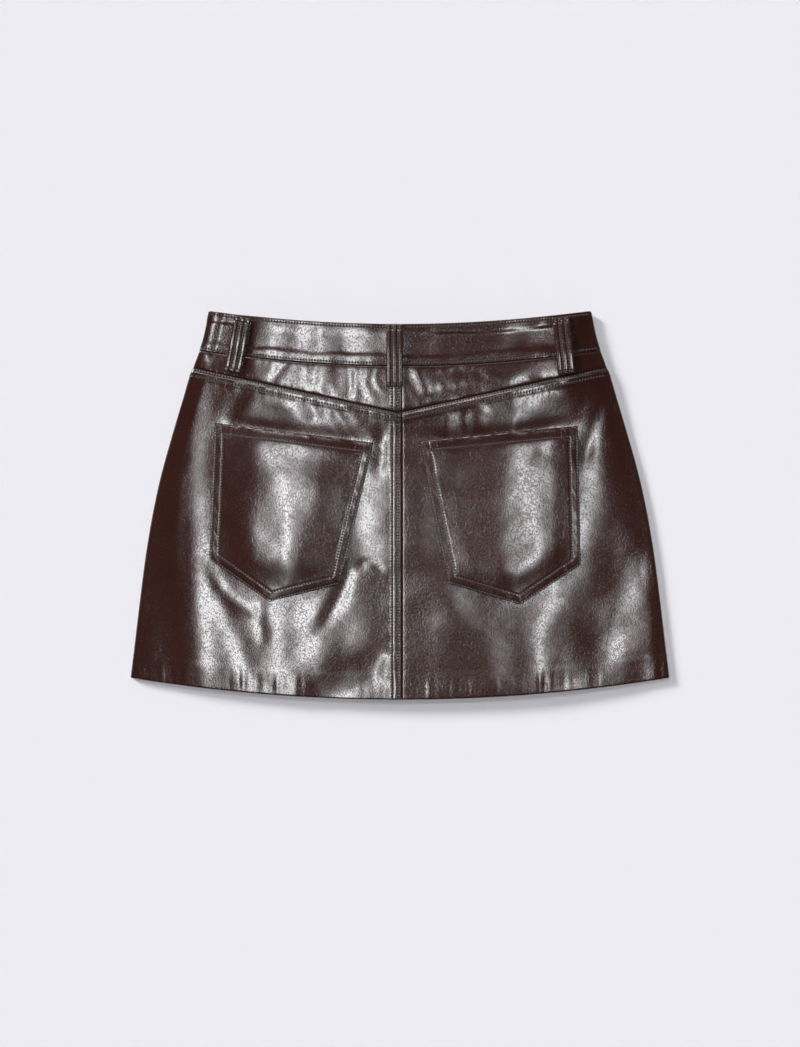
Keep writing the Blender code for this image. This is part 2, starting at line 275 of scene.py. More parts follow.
@dataclass(frozen=True)
class Cut:
    """The skirt's cut as it lies: its levels, its seam lines and the thickness of its leather."""

    length: float = 359.0
    waistband_depth: float = 40.3
    centre_back_top: float = 173.2
    centre_back_x: float = 1.3
    yoke_depth_at_centre: float = 84.8
    yoke_rise_to_side: float = 43.6
    yoke_bow: float = 15.9
    yoke_apex: float = -0.014
    leather: float = 1.2
    waistband_thick: float = 2.1
    seam_gap: float = 0.16
    fold_radius: float = 2.5
    front_raised: float = 1.8
    raised_until: float = 62.0
    flat_from: float = 130.0
    dome: float = 5.0
    sections: tuple[Section, ...] = (
        Section(0.0, 182.9, 13.0, 28.0),
        Section(40.3, 192.2, 15.3, 26.5),
        Section(56.4, 198.0, 15.6, 25.8),
        Section(113.3, 215.8, 16.6, 23.5),
        Section(171.2, 231.4, 17.6, 22.0),
        Section(228.1, 242.1, 18.6, 21.0),
        Section(286.0, 249.7, 19.6, 20.2),
        Section(342.8, 256.3, 20.4, 20.0),
        Section(359.0, 258.2, 20.6, 20.0),
    )

    def level(self, column: str, depth: Array) -> Array:
        """A column of the sections, on a smooth curve through its rows.

        Args:
            column: the column's name.
            depth: depths.

        Returns:
            The column's value at each depth.
        """
        at = np.array([row.depth for row in self.sections])
        values = np.array([getattr(row, column) for row in self.sections])
        slopes = np.gradient(values, at)
        depth = np.clip(depth, at[0], at[-1])
        row = np.clip(np.searchsorted(at, depth) - 1, 0, len(at) - 2)
        span = at[row + 1] - at[row]
        t = (depth - at[row]) / span
        start = values[row] * (1 + 2 * t) * (1 - t) ** 2 + slopes[row] * span * t * (1 - t) ** 2
        return start + values[row + 1] * t * t * (3 - 2 * t) - slopes[row + 1] * span * t * t * (1 - t)

    def plan_y(self, x: Array, depth: Array, sag: str = "back_sag") -> Array:
        """Where a level lies in plan: an arc that hangs between its two ends at the sides.

        Args:
            x: places across.
            depth: the levels.
            sag: the column that says how far the arc hangs.

        Returns:
            The place along y.
        """
        end_y = self.centre_back_top - depth + self.level("back_sag", depth)
        return end_y - self.level(sag, depth) * (1.0 - (x / self.level("half_width", depth)) ** 2)

    def depth_at(self, x: Array, y: Array, rounds: int = 6) -> Array:
        """The level of the back that passes through each place in plan.

        Args:
            x: places across.
            y: places along.
            rounds: how often the guess is bettered.

        Returns:
            The level at each place.
        """
        depth = self.centre_back_top - y
        for _ in range(rounds):
            share = x / self.level("half_width", depth)
            depth = self.centre_back_top - y + self.level("back_sag", depth) * share**2
        return depth

    def yoke_depth(self, share: Array) -> Array:
        """The yoke seam, a wide V, at a share of the way to the side, below 0 on the left."""
        share = np.abs(share - self.yoke_apex)
        return self.yoke_depth_at_centre - self.yoke_rise_to_side * share + self.yoke_bow * share**2

    def fold_x(self, depth: Array) -> Array:
        """How far out the side fold starts."""
        return self.level("half_width", depth) - self.fold_radius

    def raised(self, depth: Array) -> Array:
        """How far the front lies above the surface: the loops and button hold its waist up."""
        return self.front_raised * (1.0 - smooth(self.raised_until, self.flat_from, depth))


# The large folds, which follow those of the solids.
LARGE_FOLDS = (
    Fold(0.8, 21.0, 16.0, (-183, 149), (-204, 24), (-183, -244)),
    Fold(0.4, 17.0, 21.0, (192, 140), (196, 34), (190, -91)),
    Fold(1.25, 58.0, 52.0, (-92, 53), (-108, -14), (-115, -97)),
    Fold(0.8, 35.0, 44.0, (104, 111), (104, 24), (96, -91)),
    Fold(1.1, 29.0, 58.0, (-1, 67), (-3, -2), (-1, -81)),
    Fold(-0.35, 7.0, 8.0, (-50, -49), (-57, -85), (-88, -135)),
    Fold(-1.0, 9.0, 9.0, (-187, 79), (-96, 67), (-8, 55)),
    Fold(-0.9, 8.0, 9.0, (5, 58), (96, 67), (182, 76)),
    Fold(-0.3, 11.0, 11.0, (-175, -79), (-157, -125), (-134, -198)),
    Fold(1.9, 83.0, 35.0, (160, 209), (159, 159), (156, 72)),
    Fold(-0.85, 35.0, 21.0, (223, -24), (204, -100), (192, -177)),
    Fold(0.12, 21.0, 15.0, (250, -49), (242, -110), (242, -187)),
)
# Creases and slighter folds: at the waist, round the loops, over the yoke, and beside and below the pockets.
CREASES = (
    Fold(-1.6, 30.0, 8.0, (-149, 224), (-154, 168), (-157, 117)),
    Fold(0.85, 40.0, 38.0, (-1, 197), (-1, 140), (-1, 78)),
    Fold(0.9, 8.0, 38.0, (-144, 214), (-145, 168), (-148, 128)),
    Fold(-0.3, 8.0, 9.0, (111, 122), (134, 115), (161, 118)),
    Fold(0.3, 8.0, 8.0, (36, 136), (48, 122), (67, 113)),
    Fold(0.25, 7.0, 7.0, (77, 130), (96, 119), (119, 124)),
    Fold(-0.25, 7.0, 7.0, (50, 136), (61, 128), (84, 126)),
    Fold(0.2, 6.0, 6.0, (50, 92), (44, 76), (50, 61)),
    Fold(-0.22, 7.0, 7.0, (65, 95), (60, 80), (67, 63)),
    Fold(0.22, 8.0, 8.0, (84, 99), (75, 84), (79, 67)),
    Fold(0.22, 7.0, 7.0, (-79, 134), (-75, 118), (-83, 99)),
    Fold(-0.16, 5.0, 5.0, (-100, 147), (-114, 130), (-129, 113)),
    Fold(0.2, 10.0, 8.0, (-84, 138), (-90, 120), (-81, 103)),
    Fold(-0.2, 8.0, 8.0, (-96, 105), (-84, 92), (-79, 76)),
    Fold(0.15, 7.0, 7.0, (-148, 132), (-132, 125), (-111, 129)),
    Fold(0.07, 3.0, 3.0, (-12, 142), (-23, 120), (-8, 103)),
    Fold(0.1, 5.0, 4.0, (-22, 138), (-33, 115), (-13, 94)),
    Fold(0.1, 5.0, 4.0, (-42, 134), (-43, 117), (-40, 97)),
    Fold(-0.08, 4.0, 4.0, (-48, 136), (-47, 117), (-49, 97)),
    Fold(0.1, 6.0, 5.0, (-63, 142), (-67, 124), (-60, 103)),
    Fold(0.14, 6.0, 6.0, (-157, 80), (-131, 99), (-90, 82)),
    Fold(-0.2, 6.0, 6.0, (-67, 97), (-55, 77), (-38, 55)),
    Fold(0.15, 6.0, 6.0, (-58, 101), (-36, 76), (-21, 57)),
    Fold(-0.22, 8.0, 8.0, (-132, 134), (-156, 99), (-167, 67)),
    Fold(-0.24, 7.0, 8.0, (4, 138), (12, 111), (29, 90)),
    Fold(0.2, 6.0, 5.0, (12, 134), (22, 117), (29, 105)),
    Fold(-0.22, 6.0, 5.0, (33, 115), (50, 109), (71, 97)),
    Fold(0.1, 5.0, 5.0, (27, 105), (38, 99), (63, 100)),
    Fold(0.2, 6.0, 6.0, (54, 143), (67, 126), (83, 105)),
    Fold(0.1, 6.0, 6.0, (108, 115), (109, 87), (108, 53)),
    Fold(0.5, 36.0, 19.0, (156, 153), (152, 130), (146, 107)),
    Fold(0.25, 10.0, 9.0, (106, 88), (142, 91), (184, 82)),
    Fold(-0.12, 9.0, 9.0, (125, 53), (142, 48), (159, 42)),
    Fold(-0.2, 6.0, 7.0, (205, 122), (186, 77), (173, 28)),
    Fold(-0.14, 6.0, 6.0, (-133, -85), (-133, -112), (-129, -139)),
    Fold(0.75, 88.0, 25.0, (135, -91), (137, -141), (135, -216)),
    Fold(0.2, 6.0, 6.0, (-186, -41), (-160, -91), (-113, -102)),
    Fold(-0.2, 4.0, 5.0, (-12, -68), (-29, -54), (-44, -64)),
    Fold(0.25, 8.0, 8.0, (-6, -139), (-12, -153), (-15, -170)),
    Fold(-0.28, 7.0, 7.0, (-17, 82), (-17, 53), (-23, 21)),
    Fold(0.3, 8.0, 8.0, (-209, 44), (-215, -14), (-215, -91)),
    Fold(0.4, 25.0, 16.0, (23, -45), (48, -97), (88, -143)),
    Fold(-0.25, 19.0, 9.0, (230, -137), (230, -177), (232, -254)),
    Fold(-0.9, 16.0, 22.0, (-104, -187), (-53, -175), (2, -146)),
)


@dataclass(frozen=True)
class Drape:
    """The height of the skirt's upper side: the folds, the creases and the leather's own unevenness."""

    cut: Cut
    calm_edge: float = 14.0
    least_inner_gap: float = 0.5
    swell: float = 0.09
    swell_size: float = 42.0
    ripple: float = 0.011
    ripple_size: float = 13.0
    fold_reach: float = 3.0
    fold_end: float = 0.3
    curve_steps: int = 16
    nearest_rounds: int = 4

    def lift(self, fold: Fold, x: Array, y: Array) -> Array:
        """The height that a fold adds.

        Args:
            fold: the fold.
            x: places across.
            y: places along.

        Returns:
            The height at each place.
        """
        start, middle, end = np.array([fold.start, fold.middle, fold.end], float)
        square, linear = 2 * start - 4 * middle + 2 * end, -3 * start + 4 * middle - end
        curve = np.linspace(0.0, 1.0, self.curve_steps + 1)[:, None]
        curve = square * curve**2 + linear * curve + start
        reach = self.fold_reach * max(fold.right_width, fold.left_width)
        low, high = curve.min(axis=0) - reach, curve.max(axis=0) + reach
        near = (x > low[0]) & (x < high[0]) & (y > low[1]) & (y < high[1])
        px, py = x[near], y[near]
        gap = (curve[:, :1] - px) ** 2 + (curve[:, 1:] - py) ** 2
        t = np.argmin(gap, axis=0) / self.curve_steps if px.size else px
        for _ in range(self.nearest_rounds):  # each round measures the distance, then steps nearer
            off_x = square[0] * t * t + linear[0] * t + start[0] - px
            off_y = square[1] * t * t + linear[1] * t + start[1] - py
            run_x, run_y = 2 * square[0] * t + linear[0], 2 * square[1] * t + linear[1]
            squared = off_x**2 + off_y**2
            to_left = run_x * off_y - run_y * off_x < 0
            reached = t
            t = np.clip(t - (off_x * run_x + off_y * run_y) / (run_x**2 + run_y**2), 0.0, 1.0)
        found = np.zeros_like(x)
        ends = smooth(0.0, self.fold_end, reached) * smooth(0.0, self.fold_end, 1.0 - reached)
        width = np.where(to_left, fold.left_width, fold.right_width)
        found[near] = fold.height * np.exp(-squared / width**2) * ends
        return found

    def height(self, x: Array, y: Array, depth: Array) -> Array:
        """The upper side's outer face, clear of the front below it.

        Args:
            x: places across.
            y: places along.
            depth: the level of each place.

        Returns:
            Heights above the surface that the skirt lies on.
        """
        cut = self.cut
        lift = sum(self.lift(fold, x, y) for fold in (*LARGE_FOLDS, *CREASES))
        lift = lift + self.swell * rumple(x, y, self.swell_size, Wave.SWELL)
        lift = lift + self.ripple * rumple(x, y, self.ripple_size, Wave.RIPPLE)
        lift = lift * smooth(0.0, self.calm_edge, cut.fold_x(depth) - np.abs(x))
        room = 2.0 * (cut.fold_radius - cut.leather) - self.least_inner_gap
        lift = lift + cut.dome * (1.0 - np.abs(x / cut.level("half_width", depth)) ** 3)
        lift = np.where(lift < 0, room * np.tanh(lift / room), lift)
        return cut.raised(depth) + 2 * cut.fold_radius + lift

    def height_in_plan(self, x: Array, y: Array) -> Array:
        """The same height, at places in plan alone."""
        return self.height(x, y, self.cut.depth_at(x, y))


# ---- finishes


class Value:
    """A shader socket that sums, products and the like add Math nodes to."""

    def __init__(self, graph: "Graph", socket: Any) -> None:
        """Wraps a node's output."""
        self.graph, self.socket = graph, socket

    def _with(self, operation: str, first: Any, second: Any) -> "Value":
        """The result of a Math node on two sockets or numbers."""
        return self.graph.value("ShaderNodeMath", {"operation": operation}, {0: first, 1: second})

    def __add__(self, other: Any) -> "Value":
        """Sum."""
        return self._with("ADD", self, other)

    __radd__ = __add__

    def __mul__(self, other: Any) -> "Value":
        """Product."""
        return self._with("MULTIPLY", self, other)

    __rmul__ = __mul__

    def __sub__(self, other: Any) -> "Value":
        """Difference."""
        return self._with("SUBTRACT", self, other)

    def __rsub__(self, other: Any) -> "Value":
        """Difference from a number."""
        return self._with("SUBTRACT", other, self)

    def __truediv__(self, other: Any) -> "Value":
        """Quotient."""
        return self._with("DIVIDE", self, other)

    def __rtruediv__(self, other: Any) -> "Value":
        """Quotient of a number."""
        return self._with("DIVIDE", other, self)


class Graph:
    """A node tree, of a finish, of the studio's surroundings or of the sewing, built one node at a time."""

    def __init__(self, owner: bpy.types.Material | bpy.types.World | bpy.types.NodeTree) -> None:
        """Starts from an empty tree.

        Args:
            owner: the tree, or the material or the surroundings that it belongs to.
        """
        self.owner = self.tree = owner
        if not isinstance(owner, bpy.types.NodeTree):
            owner.use_nodes = True
            self.tree = owner.node_tree
        self.tree.nodes.clear()

    def node(self, kind: str, settings: dict[str, Any], inputs: dict[Any, Any]) -> Any:
        """Adds a node.

        Args:
            kind: the node's type.
            settings: its properties.
            inputs: the value or link of each socket, by name or number.

        Returns:
            The node.
        """
        made = self.tree.nodes.new(kind)
        for key, setting in settings.items():
            setattr(made, key, setting)
        for key, given in inputs.items():
            if isinstance(given, Value):
                self.tree.links.new(given.socket, made.inputs[key])
            else:
                made.inputs[key].default_value = given
        return made

    def value(self, kind: str, settings: dict[str, Any], inputs: dict[Any, Any], output: Any = 0) -> Value:
        """Adds a node and gives one of its outputs."""
        return Value(self, self.node(kind, settings, inputs).outputs[output])

    def colour_mix(self, share: Any, first: Any, second: Any) -> Value:
        """A blend of two colours.

        Args:
            share: how much of the second colour shows, from 0 to 1.
            first: the first colour.
            second: the second colour.

        Returns:
            The blend.
        """
        inputs = {"Factor": share, "A": first, "B": second}
        node = self.node("ShaderNodeMix", {"data_type": "RGBA"}, {})
        for key, given in inputs.items():
            socket = next(s for s in node.inputs if s.name == key and (s.type == "RGBA") == (key != "Factor"))
            if isinstance(given, Value):
                self.tree.links.new(given.socket, socket)
            else:
                socket.default_value = given
        return Value(self, next(s for s in node.outputs if s.type == "RGBA"))

    def finish(self, shader: Value) -> Any:
        """Joins the shader to the output.

        Args:
            shader: the shader.

        Returns:
            The material or the surroundings.
        """
        kind = "Material" if isinstance(self.owner, bpy.types.Material) else "World"
        self.node("ShaderNodeOutput" + kind, {}, {"Surface": shader})
        return self.owner

    def rise(self, low: float, high: float, value: Value) -> Value:
        """A soft rise from 0 at low to 1 at high."""
        inputs = {"Value": value, "From Min": low, "From Max": high}
        return self.value("ShaderNodeMapRange", {"interpolation_type": "SMOOTHSTEP"}, inputs)


@dataclass(frozen=True)
class LeatherFinish:
    """Dark brown coated leather: glossy pebbles, duller valleys, fine cracks and needle holes with painted
    shade in them. Lengths are in metres.
    """

    name: str = "dark_brown_leather"
    colour: tuple[float, ...] = (0.030, 0.0090, 0.0065, 1.0)
    worn_colour: tuple[float, ...] = (0.042, 0.0130, 0.0092, 1.0)
    # painted shade: a near-black colour for the inside of the needle holes, where shade falls
    hole_shade_colour: tuple[float, ...] = (0.006, 0.0025, 0.0020, 1.0)
    roughness: float = 0.09
    valley_roughness: float = 0.13
    specular: float = 0.42
    coat: float = 0.9
    coat_roughness: float = 0.06
    pebble: float = 0.0015
    fine_pebble: float = 0.0009
    wrinkle: float = 0.007
    crackle: float = 0.0066
    pebble_height: float = 0.000034
    fine_height: float = 0.000010
    wrinkle_height: float = 0.000018
    crackle_depth: float = 0.000012
    hole_depth: float = 0.00016
    hole_roughness: float = 0.5
    hole_half_width: tuple[float, float] = (0.75, 1.75)  # millimetres off the row, where a hole ends
    hole_half_length: tuple[float, float] = (0.16, 0.32)  # shares of a stitch, where a hole ends
    sway: float = 0.0012
    sways_per_metre: float = 240.0
    patches_per_metre: float = 26.0
    patch_contrast: float = 1.6
    patch_shift: float = 0.3
    valley: tuple[float, float] = (0.32, 0.82)
    valley_dulling: float = 0.62
    crack_dulling: float = 0.6
    crack_width: float = 0.09
    cracked: tuple[float, float] = (0.50, 0.62)

    def needle_holes(self, graph: Graph) -> Value:
        """The holes between the stitches, which the bump dents and which are filled with painted shade.

        Args:
            graph: the material's nodes.

        Returns:
            A mask that is 1 in the holes.
        """
        place = graph.value("ShaderNodeUVMap", {"uv_map": SEWING_MAP}, {})
        parts = graph.node("ShaderNodeSeparateXYZ", {}, {0: place})
        along, off = (Value(graph, socket) for socket in parts.outputs[:2])
        share = graph.value("ShaderNodeMath", {"operation": "FRACT"}, {0: along})
        from_hole = graph.value("ShaderNodeMath", {"operation": "ABSOLUTE"}, {0: share - 0.5})
        near = 1 - graph.rise(*self.hole_half_width, off)
        return (1 - graph.rise(*self.hole_half_length, from_hole)) * near

    def build(self) -> bpy.types.Material:
        """Builds the finish.

        Returns:
            The material.
        """
        graph = Graph(bpy.data.materials.new(self.name))
        place = graph.value("ShaderNodeTexCoord", {}, {}, "Object")
        inputs = {"Vector": place, "Scale": self.sways_per_metre, "Detail": 2.0}
        warp = graph.value("ShaderNodeTexNoise", {}, inputs, "Color")
        warp = graph.value("ShaderNodeVectorMath", {"operation": "SCALE"}, {0: warp, "Scale": self.sway})
        swayed = graph.value("ShaderNodeVectorMath", {"operation": "ADD"}, {0: place, 1: warp})
        far = []
        for size in (self.pebble, self.fine_pebble):
            inputs = {"Vector": swayed, "Scale": 1 / size, "Randomness": 1.0}
            far.append(graph.value("ShaderNodeTexVoronoi", {"feature": "F1"}, inputs, "Distance"))
        inputs = {"Vector": place, "Scale": 1 / self.wrinkle, "Detail": 2.0, "Distortion": 0.6}
        wrinkles = graph.value("ShaderNodeTexNoise", {}, inputs)
        inputs = {"Vector": place, "Scale": self.patches_per_metre, "Detail": 3.0, "Roughness": 0.55}
        patches = graph.value("ShaderNodeTexNoise", {}, inputs)
        inputs = {"Vector": swayed, "Scale": 1 / self.crackle, "Randomness": 1.0}
        lines = graph.value("ShaderNodeTexVoronoi", {"feature": "DISTANCE_TO_EDGE"}, inputs, "Distance")
        cracks = (1 - graph.rise(0.0, self.crack_width, lines)) * graph.rise(*self.cracked, patches)
        grain = wrinkles * (self.wrinkle_height / MM) - far[0] * far[0] * (self.pebble_height / MM)
        holes = self.needle_holes(graph)
        grain = grain - far[1] * far[1] * (self.fine_height / MM) - cracks * (self.crackle_depth / MM)
        grain = grain - holes * (self.hole_depth / MM)
        inputs = {"Strength": 1.0, "Distance": MM, "Height": grain}
        bumped = graph.value("ShaderNodeBump", {}, inputs, "Normal")
        tops = 1 - self.valley_dulling * graph.rise(*self.valley, far[0])
        tops = tops * (1 - cracks * self.crack_dulling) * (1 - holes)
        worn = patches * self.patch_contrast - self.patch_shift
        colour = graph.colour_mix(worn, self.colour, self.worn_colour)
        # painted shade: the needle holes are coloured near-black as well as dented by the bump
        colour = graph.colour_mix(holes, colour, self.hole_shade_colour)
        roughness = tops * (self.roughness - self.valley_roughness) + self.valley_roughness
        inputs = {
            "Base Color": colour,
            "Roughness": roughness + holes * self.hole_roughness,
            "Specular IOR Level": self.specular,
            "Coat Weight": tops * self.coat,
            "Coat Roughness": self.coat_roughness,
            "Normal": bumped,
        }
        return graph.finish(graph.value("ShaderNodeBsdfPrincipled", {}, inputs))


@dataclass(frozen=True)
class ThreadFinish:
    """Dark brown twisted sewing thread, coloured paler than its own dark brown: painted sheen on the
    stitches, strongest on the paler strands.
    """

    name: str = "dark_brown_thread"
    colour: tuple[float, ...] = (0.088, 0.057, 0.048, 1.0)
    # painted sheen: a pale strand colour that stands in for the glints on the glossy thread
    painted_sheen_colour: tuple[float, ...] = (0.185, 0.136, 0.120, 1.0)
    roughness: float = 0.28
    twist: float = 0.0005
    twist_height: float = 0.0001

    def build(self) -> bpy.types.Material:
        """Builds the finish.

        Returns:
            The material.
        """
        graph = Graph(bpy.data.materials.new(self.name))
        place = graph.value("ShaderNodeTexCoord", {}, {}, "Object")
        inputs = {"Vector": place, "Scale": 1 / self.twist, "Detail": 2.0}
        strands = graph.value("ShaderNodeTexNoise", {}, inputs)
        inputs = {"Strength": 0.6, "Distance": self.twist_height, "Height": strands}
        bumped = graph.value("ShaderNodeBump", {}, inputs, "Normal")
        # painted sheen: the strands are mixed towards a paler colour instead of catching the light
        colour = graph.colour_mix(strands, self.colour, self.painted_sheen_colour)
        inputs = {"Base Color": colour, "Roughness": self.roughness, "Normal": bumped}
        return graph.finish(graph.value("ShaderNodeBsdfPrincipled", {}, inputs))


@dataclass(frozen=True)
class MetalFinish:
    """Dark plain metal with fine handling marks."""

    name: str = "dark_metal"
    colour: tuple[float, ...] = (0.12, 0.10, 0.09, 1.0)
    least_roughness: float = 0.20
    mark_roughness: float = 0.2
    mark_height: float = 0.00005
    marks_per_metre: float = 900.0

    def build(self) -> bpy.types.Material:
        """Builds the finish.

        Returns:
            The material.
        """
        graph = Graph(bpy.data.materials.new(self.name))
        place = graph.value("ShaderNodeTexCoord", {}, {}, "Object")
        inputs = {"Vector": place, "Scale": self.marks_per_metre, "Detail": 4.0}
        marks = graph.value("ShaderNodeTexNoise", {}, inputs)
        inputs = {"Strength": 0.3, "Distance": self.mark_height, "Height": marks}
        bumped = graph.value("ShaderNodeBump", {}, inputs, "Normal")
        inputs = {
            "Base Color": self.colour,
            "Metallic": 1.0,
            "Roughness": marks * self.mark_roughness + self.least_roughness,
            "Normal": bumped,
        }
        return graph.finish(graph.value("ShaderNodeBsdfPrincipled", {}, inputs))


@dataclass(frozen=True)
class FloorFinish:
    """A plain pale studio surface, which glows a little so that it stays even."""

    name: str = "pale_floor"
    colour: tuple[float, ...] = (0.800, 0.793, 0.832, 1.0)
    glow: float = 0.19

    def build(self) -> bpy.types.Material:
        """Builds the finish.

        Returns:
            The material.
        """
        graph = Graph(bpy.data.materials.new(self.name))
        inputs = {
            "Base Color": self.colour,
            "Roughness": 1.0,
            "Specular IOR Level": 0.0,
            "Emission Color": self.colour,
            "Emission Strength": self.glow,
        }
        return graph.finish(graph.value("ShaderNodeBsdfPrincipled", {}, inputs))


@dataclass
class Finishes:
    """Every material, built once."""

    leather: bpy.types.Material = field(default_factory=lambda: LeatherFinish().build())
    thread: bpy.types.Material = field(default_factory=lambda: ThreadFinish().build())
    metal: bpy.types.Material = field(default_factory=lambda: MetalFinish().build())
    floor: bpy.types.Material = field(default_factory=lambda: FloorFinish().build())


# ---- making meshes


class SewnRow(NamedTuple):
    """A row of stitches as each place of a grid sees it: the way along the row, and the distance off it."""

    along: Array
    off: Array


def nearest_row(rows: Sequence[SewnRow], shape: tuple[int, int]) -> Array:
    """Finds the row of stitches that is nearest to each place of a grid.

    Args:
        rows: the rows.
        shape: the grid's size.

    Returns:
        For each place, how many stitches along its nearest row it lies and how far off that row.
    """
    along, off = np.zeros(shape), np.full(shape, FAR_FROM_SEWING)
    for row in rows:
        distance = np.abs(np.broadcast_to(row.off, shape))
        nearer = distance < off
        along = np.where(nearer, np.broadcast_to(row.along, shape) / STITCH_PITCH, along)
        off = np.where(nearer, distance, off)
    return np.stack([along, off], axis=-1)


def stitch_places(start: float, stop: float) -> Array:
    """The places of the stitches between two places along a row."""
    first, last = math.ceil(start / STITCH_PITCH), math.floor(stop / STITCH_PITCH)
    return STITCH_PITCH * np.arange(first, last + 1)


@dataclass
class Workshop:
    """Turns grids of points into closed leather pieces and remembers what the sewing needs."""

    finishes: Finishes
    cell: float = 1.15
    coarse_cell: float = 4.0
    inner_stride: int = 4
    rows_of_stitches: dict[str, list[Array]] = field(default_factory=dict)

    def __post_init__(self) -> None:
        """Leaves the cells as they are."""

    def cells(self, length: float, fine: bool = True) -> int:
        """How many cells a length is divided into."""
        return max(2, round(length / (self.cell if fine else self.coarse_cell)))

    @staticmethod
    def mesh_of(
        name: str, points: Array, faces: list[list[int]], sewn: Array | None = None
    ) -> bpy.types.Mesh:
        """A smooth-shaded mesh in metres from points in millimetres.

        Args:
            name: the mesh's name.
            points: its points.
            faces: its faces, as numbers of points.
            sewn: for each point, how many stitches along the nearest row it lies and how far off the row.

        Returns:
            The mesh.
        """
        mesh = bpy.data.meshes.new(name)
        mesh.vertices.add(len(points))
        mesh.vertices.foreach_set("co", (points * MM).astype(np.float32).ravel())
        sizes = np.array([len(face) for face in faces])
        numbers = np.concatenate([np.asarray(face) for face in faces])
        mesh.loops.add(int(sizes.sum()))
        mesh.loops.foreach_set("vertex_index", numbers.astype(np.int32))
        mesh.polygons.add(len(faces))
        mesh.polygons.foreach_set("loop_start", (np.cumsum(sizes) - sizes).astype(np.int32))
        mesh.update(calc_edges=True)
        mesh.validate()
        if sewn is not None:
            corners = np.empty(len(mesh.loops), np.int32)
            mesh.loops.foreach_get("vertex_index", corners)
            layer = mesh.uv_layers.new(name=SEWING_MAP)
            layer.uv.foreach_set("vector", sewn[corners].astype(np.float32).ravel())
        mesh.shade_smooth()
        return mesh

    def shell_faces(self, height: int, columns: int) -> tuple[list[list[int]], tuple[Array, ...]]:
        """Joins a grid to a coarser one behind it, as a closed shell.

        Args:
            height: how many rows the grid has.
            columns: how many columns it has.

        Returns:
            The faces, and which rows and columns the coarser grid keeps.
        """
        kept_rows = sorted({*range(0, height, self.inner_stride), height - 1})
        kept_columns = sorted({*range(0, columns, self.inner_stride), columns - 1})
        number = np.arange(height * columns).reshape(height, columns)
        inside = {}
        for row in kept_rows:
            for column in kept_columns:
                inside[row, column] = height * columns + len(inside)
        corners = number[:-1, :-1], number[1:, :-1], number[1:, 1:], number[:-1, 1:]
        faces = np.stack([corner.ravel() for corner in corners], axis=1).tolist()
        for top, low in zip(kept_rows, kept_rows[1:]):
            for left, right in zip(kept_columns, kept_columns[1:]):
                faces.append([inside[top, left], inside[top, right], inside[low, right], inside[low, left]])
        last_row, last_column = height - 1, columns - 1
        for a, b in zip(kept_columns, kept_columns[1:]):
            faces.append([*number[0, a : b + 1], inside[0, b], inside[0, a]])
            faces.append([*number[last_row, a : b + 1][::-1], inside[last_row, a], inside[last_row, b]])
        for a, b in zip(kept_rows, kept_rows[1:]):
            faces.append([*number[a : b + 1, 0][::-1], inside[a, 0], inside[b, 0]])
            faces.append([*number[a : b + 1, last_column], inside[b, last_column], inside[a, last_column]])
        return faces, np.ix_(kept_rows, kept_columns)

    def cloth(
        self, node: str, grids: Sequence[Array], up: bool, rests_on: list[str], rows: Sequence[SewnRow] = ()
    ) -> None:
        """Makes a closed leather piece that is laid flat and stands for its solid.

        Args:
            node: the solid's name.
            grids: the face that shows, the hidden face, and the unstitched face, which is not used.
            up: whether the face that shows looks up.
            rests_on: what the piece lies on; not used.
            rows: the rows of stitches on the face that shows.
        """
        outer, inner, base = grids
        height, columns = outer.shape[:2]
        faces, kept = self.shell_faces(height, columns)
        points = np.concatenate([outer.reshape(-1, 3), inner[kept].reshape(-1, 3)])
        middle = outer[height // 2, columns // 2]
        run_down = outer[height // 2 + 1, columns // 2] - middle
        run_across = outer[height // 2, columns // 2 + 1] - middle
        if (np.cross(run_down, run_across)[2] > 0) != up:
            faces = [face[::-1] for face in faces]
        sewn = np.full((len(points), 2), FAR_FROM_SEWING)
        sewn[: height * columns] = nearest_row(rows, (height, columns)).reshape(-1, 2)
        name = "leather_" + node
        piece = self.place(name, self.mesh_of(name, points, faces, sewn), self.finishes.leather, "leather")
        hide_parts(node)

    @staticmethod
    def place(name: str, mesh: bpy.types.Mesh, finish: bpy.types.Material, slot: str) -> bpy.types.Object:
        """Puts a mesh in the scene as a piece that rides on the skirt's body.

        Args:
            name: the piece's name.
            mesh: its mesh.
            finish: its material.
            slot: the record's material slot that it shows; not used.

        Returns:
            The piece.
        """
        mesh.materials.clear()
        mesh.materials.append(finish)
        piece = bpy.data.objects.new(name, mesh)
        bpy.context.scene.collection.objects.link(piece)
        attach(piece, BODY)
        LOG.info("%s: %d points", name, len(mesh.vertices))
        return piece

    def stitch(self, group: str, row: Array) -> None:
        """Remembers a row of stitches, as points in millimetres."""
        self.rows_of_stitches.setdefault(group, []).append(row)


# ---- the skirt's pieces


